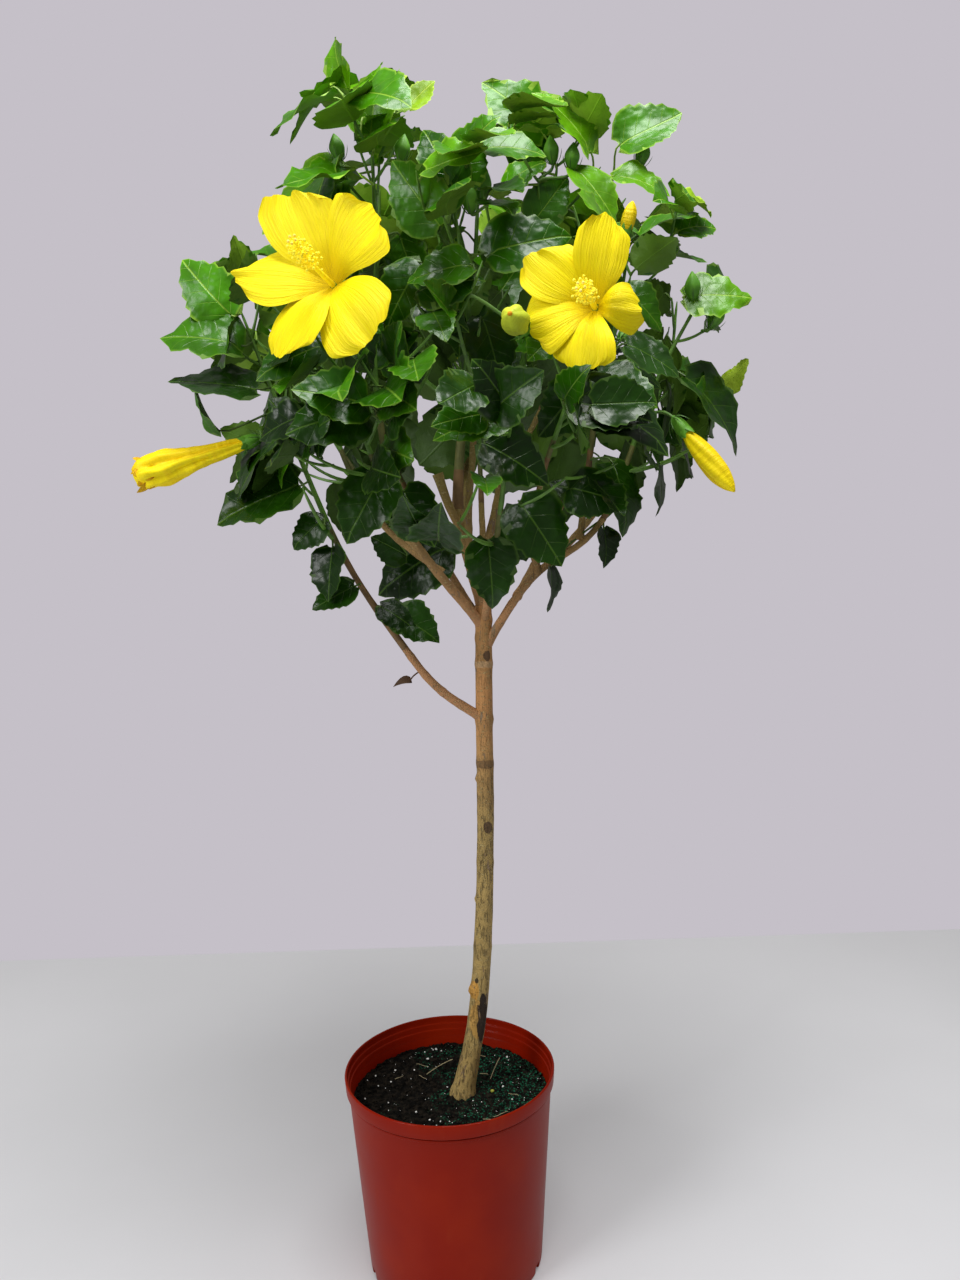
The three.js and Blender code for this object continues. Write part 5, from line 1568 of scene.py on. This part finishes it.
def cup(base, look, length, radius, calyx, bracts):
    """The green cup of a flower: five joined sepals with free tips, and narrow bracts below it."""
    lobed(calyx, base, look, ((-1, 2.2), (0.12 * length, 0.62 * radius), (0.45 * length, 0.95 * radius),
                              (0.8 * length, radius), (length, 0.92 * radius)), 20, SEPALS, 0.1, 0, 0)
    for out in spokes(look, SEPALS, 0.3):
        start = base + look * length * 0.72 + out * radius * 0.92
        end = base + look * length * 1.2 + out * radius * 1.25
        strip(calyx, start, mix(start, end, 0.5) + out * 0.5, end, radius * 0.62, out, 0)
    for out in spokes(look, bracts):
        start = base + out * 2.2
        end = base + look * length * 0.62 + out * (radius + 6)
        strip(calyx, start, base + out * (radius * 0.9 + 2) + look * 1.5, end, 1.1, out, 1)


def strip(bundle, start, middle, end, half_width, face, tint):
    """A sepal's tip or a bract: a pointed strip bent from its start to its end."""
    shape = sheet_shape(5, 2)
    s, t, side = shape.corners.T
    line = np.outer((1 - s) ** 2, start) + np.outer(2 * s * (1 - s), middle) + np.outer(s * s, end)
    across = unit(np.cross(face, end - start))
    width = half_width * np.minimum(1, 0.75 + s) * (1 - s ** 2.2)
    lift = side * 0.35 - 0.25 * np.abs(t) * width
    places = line + np.outer(t * width, across) + np.outer(lift, unit(face))
    bundle.add(shape, places, tint, np.column_stack((s, t, np.abs(t))))


STALKS_FROM = {(96, -176, 1018): "front"}  # a flower whose stalk comes from another mass than its own


def flower_stalk(bloom, foot, look, calyx, radius):
    """A stalk from the nearest wood to a cup's foot, with a knee two thirds up it."""
    root = nearest_wood(STALKS_FROM.get(bloom.at, bloom.on), foot)
    span = np.linalg.norm(foot - root)
    points = bend(root, mix(root + UP * span * 0.15, foot, 0.3), foot - look * span * 0.35, foot, 14)
    radii = np.full(len(points), radius)
    radii[0] += 0.8
    radii[9] += 0.35
    tube(calyx, points, radii, 8, 2)


FURLED, FADED, FRILLED, YELLOW_GREEN = 1, 2, 3, 4  # finishes of the petals piece, after the open one
# For each furled flower: where its petals start, their fullness, where its cup starts, the cup's
# length and radius, and the petals' finish.
FURLED_FORMS = {
    (266, -104, 916): (-14, 10.6, -34, 22, 7, FURLED),
    (196, -112, 1096): (14, 6.4, -10, 30, 5.2, FURLED),
    (96, -176, 1018): (-4, 12, -12, 16, 9, YELLOW_GREEN),
    (238, 158, 1070): (2, 8.4, -12, 20, 7, FURLED),
}


def furled_flower(bloom, petals, calyx):
    """A flower before it opens: petals wound round each other out of a green cup."""
    centre, look, length = stance(bloom)
    start, full, cup_at, cup_length, cup_radius, tint = FURLED_FORMS[bloom.at]
    span = length - start
    rows = ((start, 0.4 * full), (start + 0.2 * span, 0.78 * full), (start + 0.5 * span, full),
            (start + 0.76 * span, 0.86 * full), (start + 0.93 * span, 0.42 * full), (length, 0.8))
    lobed(petals, centre, look, rows, 30, 5, 0.2, 5.0, tint)
    if tint == YELLOW_GREEN:
        pebble = pebble_shape()
        petals.add(pebble, pebble.corners * 2.6 + centre + look * (length - 1), FRILLED)
    cup(centre + look * cup_at, look, cup_length, cup_radius, calyx, 8)
    flower_stalk(bloom, centre + look * (cup_at + 2), look, calyx, 1.6)


FRILLS, BUD_BRACTS = 22, 7


def faded_flower(bloom, petals, calyx, draw):
    """A spent flower: closed, creased, with a frilled brown-orange mouth."""
    centre, look, length = stance(bloom)
    rows = ((-25, 4.5), (-8, 7), (0.25 * length, 9.5), (0.5 * length, 13), (0.75 * length, 15.5),
            (0.9 * length, 14), (0.97 * length, 9))
    lobed(petals, centre, look, rows, 44, 7, 0.36, 1.3, FADED, 2.4)
    for i in range(FRILLS):
        out = turned(look, i * GOLDEN_ANGLE)
        start = centre + look * length * mix(0.76, 0.88, draw()) + out * mix(5, 14, draw())
        end = start + look * mix(6, 15, draw()) + out * mix(-3, 5, draw()) + UP * mix(-4, 3, draw())
        strip(petals, start, mix(start, end, 0.5) + out * 3, end, mix(3.5, 6.5, draw()), out, FRILLED)
    cup(centre - look * 36, look, 18, 7, calyx, 9)
    flower_stalk(bloom, centre - look * 34, look, calyx, 1.6)


def green_bud(bloom, calyx):
    """A small closed bud: five sepals meeting in a point, over a ring of narrow bracts."""
    centre, look, length = stance(bloom)
    rows = ((-2, 2), (0.2 * length, 6), (0.5 * length, 7.4), (0.8 * length, 4.2), (length, 0.6))
    lobed(calyx, centre, look, rows, 20, SEPALS, 0.16, 0, 0)
    for out in spokes(look, BUD_BRACTS):
        start, end = centre - look * 2 + out * 2, centre + look * length * 0.5 + out * 10.5
        strip(calyx, start, centre + out * 8.5, end, 1.0, out, 1)
    flower_stalk(bloom, centre - look, look, calyx, 1.5)


def blossom():
    """All flowers and buds; gives back a tree of the petals' corners, which leaves and twigs keep off."""
    petals, heart, calyx = Bundle(), Bundle(), Bundle()
    draw = seeded(901)
    for bloom in BLOSSOM:
        if bloom.kind == "open":
            open_flower(bloom, petals, heart, calyx, draw)
        elif bloom.kind == "furled":
            furled_flower(bloom, petals, calyx)
        elif bloom.kind == "faded":
            faded_flower(bloom, petals, calyx, draw)
        else:
            green_bud(bloom, calyx)
    corners = np.vstack(petals.corners)
    tree = KDTree(len(corners))
    for index, corner in enumerate(corners):
        tree.insert(corner, index)
    tree.balance()
    nodes = ["foliage_" + name for name in sorted({bloom.on for bloom in BLOSSOM})]
    # each petal finish's second colour is painted into its creases and towards its foot as painted shade;
    # for the frilled mouth it is also its own brown-orange
    petals.piece("petals", [petal_finish("petal_yellow", paint(240, 222, 0), paint(226, 194, 0), 0.5,
                                         paint(120, 70, 20)),
                            petal_finish("furled_yellow", paint(250, 228, 14), paint(226, 192, 8)),
                            petal_finish("faded_yellow", paint(255, 234, 18), paint(238, 200, 10)),
                            petal_finish("frilled_mouth", paint(248, 200, 30), paint(196, 116, 24), 0.7),
                            petal_finish("bud_yellow_green", paint(206, 214, 62), paint(168, 184, 44))],
                 "foliage", nodes, sharp=80)
    heart.piece("flower_hearts", [glow_finish("column_yellow", paint(248, 232, 30), paint(240, 216, 10)),
                                  glow_finish("anther_yellow", paint(252, 240, 60), paint(246, 222, 30)),
                                  glow_finish("stigma_yellow", paint(255, 232, 110), paint(250, 214, 60))],
                "foliage", nodes, sharp=80)
    calyx.piece("flower_cups", [stem_finish("cup_green", paint(104, 168, 40), paint(82, 144, 32)),
                                stem_finish("bract_green", paint(84, 128, 48), paint(66, 104, 40)),
                                stem_finish("flower_stalk_green", paint(98, 138, 54), paint(78, 116, 44))],
                "foliage", nodes)
    return tree


def scrap_leaf():
    """The dried scrap of a leaf that hangs under the low left bough."""
    bundle = Bundle()
    root, foot = np.array((-12.0, -28.0, 692.0)), np.array((-24.0, -30.0, 683.0))
    tube(bundle, bend(root, mix(root, foot, 0.4) + UP * 2, foot + UP * 2, foot, 6), [0.9] * 6, 5, 0)
    strip(bundle, foot, foot + np.array((-8, -2, 4)), foot + np.array((-20.0, 0, -8)), 6,
          np.array((0.2, -0.6, 0.7)), 0)
    bundle.piece("scrap_leaf", [plain_finish("dried_leaf", paint(92, 66, 44), 0.85)], "foliage")


# ---- Stage, light and camera ------------------------------------------------------------------


FILL_LIGHT = 0.3  # strength of the pale room's own light on the plant
LENS, SENSOR, PITCH, ROLL = 28.125, 36.0, 6.2, 1.9


def stage():
    """The pale floor, and a pale room that is seen brighter than it lights the plant."""
    bm = bmesh.new()
    bmesh.ops.create_grid(bm, x_segments=1, y_segments=1, size=1)
    bmesh.ops.scale(bm, vec=(1.7, 1.05, 1), verts=bm.verts)
    bmesh.ops.translate(bm, vec=(0, -0.18, -0.0005), verts=bm.verts)
    floor = in_scene("floor", mesh_of(bm, "floor"))
    finish = Finish("pale_floor", {"Roughness": 0.35})
    finish.set("Base Color", finish.blend(finish.grain(3, 3), paint(204, 204, 207), paint(214, 214, 217)))
    finish.set("Emission Color", paint(216, 214, 218))
    finish.set("Emission Strength", 0.16)
    floor.data.materials.append(finish.material)
    world = bpy.data.worlds.new("pale_room")
    bpy.context.scene.world = world
    world.use_nodes = True
    nodes, links = world.node_tree.nodes, world.node_tree.links
    seen, fill = nodes["Background"], nodes.new("ShaderNodeBackground")
    seen.inputs["Color"].default_value = paint(197, 192, 200)
    fill.inputs["Color"].default_value = paint(228, 226, 222)
    fill.inputs["Strength"].default_value = FILL_LIGHT
    either, sight = nodes.new("ShaderNodeMixShader"), nodes.new("ShaderNodeLightPath")
    links.new(sight.outputs["Is Camera Ray"], either.inputs["Fac"])
    links.new(fill.outputs["Background"], either.inputs[1])
    links.new(seen.outputs["Background"], either.inputs[2])
    links.new(either.outputs["Shader"], nodes["World Output"].inputs["Surface"])
    bpy.context.scene.view_settings.view_transform = "Standard"


def area_light(name, place, aim, size, power):
    """A soft rectangular light at a place, turned to its aim."""
    light = bpy.data.lights.new(name, "AREA")
    light.shape, light.size, light.size_y, light.energy = "RECTANGLE", size[0], size[1], power
    lamp = in_scene(name, light)
    lamp.location = place
    lamp.rotation_euler = (Vector(aim) - Vector(place)).to_track_quat("-Z", "Y").to_euler()


def camera():
    """The view: 1.09 m in front, at leaf height, pitched a little down and rolled a little."""
    data = bpy.data.cameras.new("camera")
    data.lens, data.sensor_width = LENS, SENSOR
    eye = in_scene("camera", data)
    eye.matrix_world = (Matrix.Translation(Vector(FRONT_EYE * MM))
                        @ Matrix.Rotation(math.radians(90 - PITCH), 4, "X")
                        @ Matrix.Rotation(math.radians(-ROLL), 4, "Z"))
    bpy.context.scene.camera = eye


pot()
soil()
crumbs()
trunk()
bough_bark()
open_petals = blossom()
leaves_and_stalks(open_petals)
twigs()
scrap_leaf()
stage()
area_light("ceiling", (0.25, -0.55, 2.5), (0.05, 0, 0.9), (1.1, 0.8), 43)
area_light("window", (-1.7, -1.5, 1.7), (0.05, 0, 0.8), (0.8, 1.2), 30)
camera()
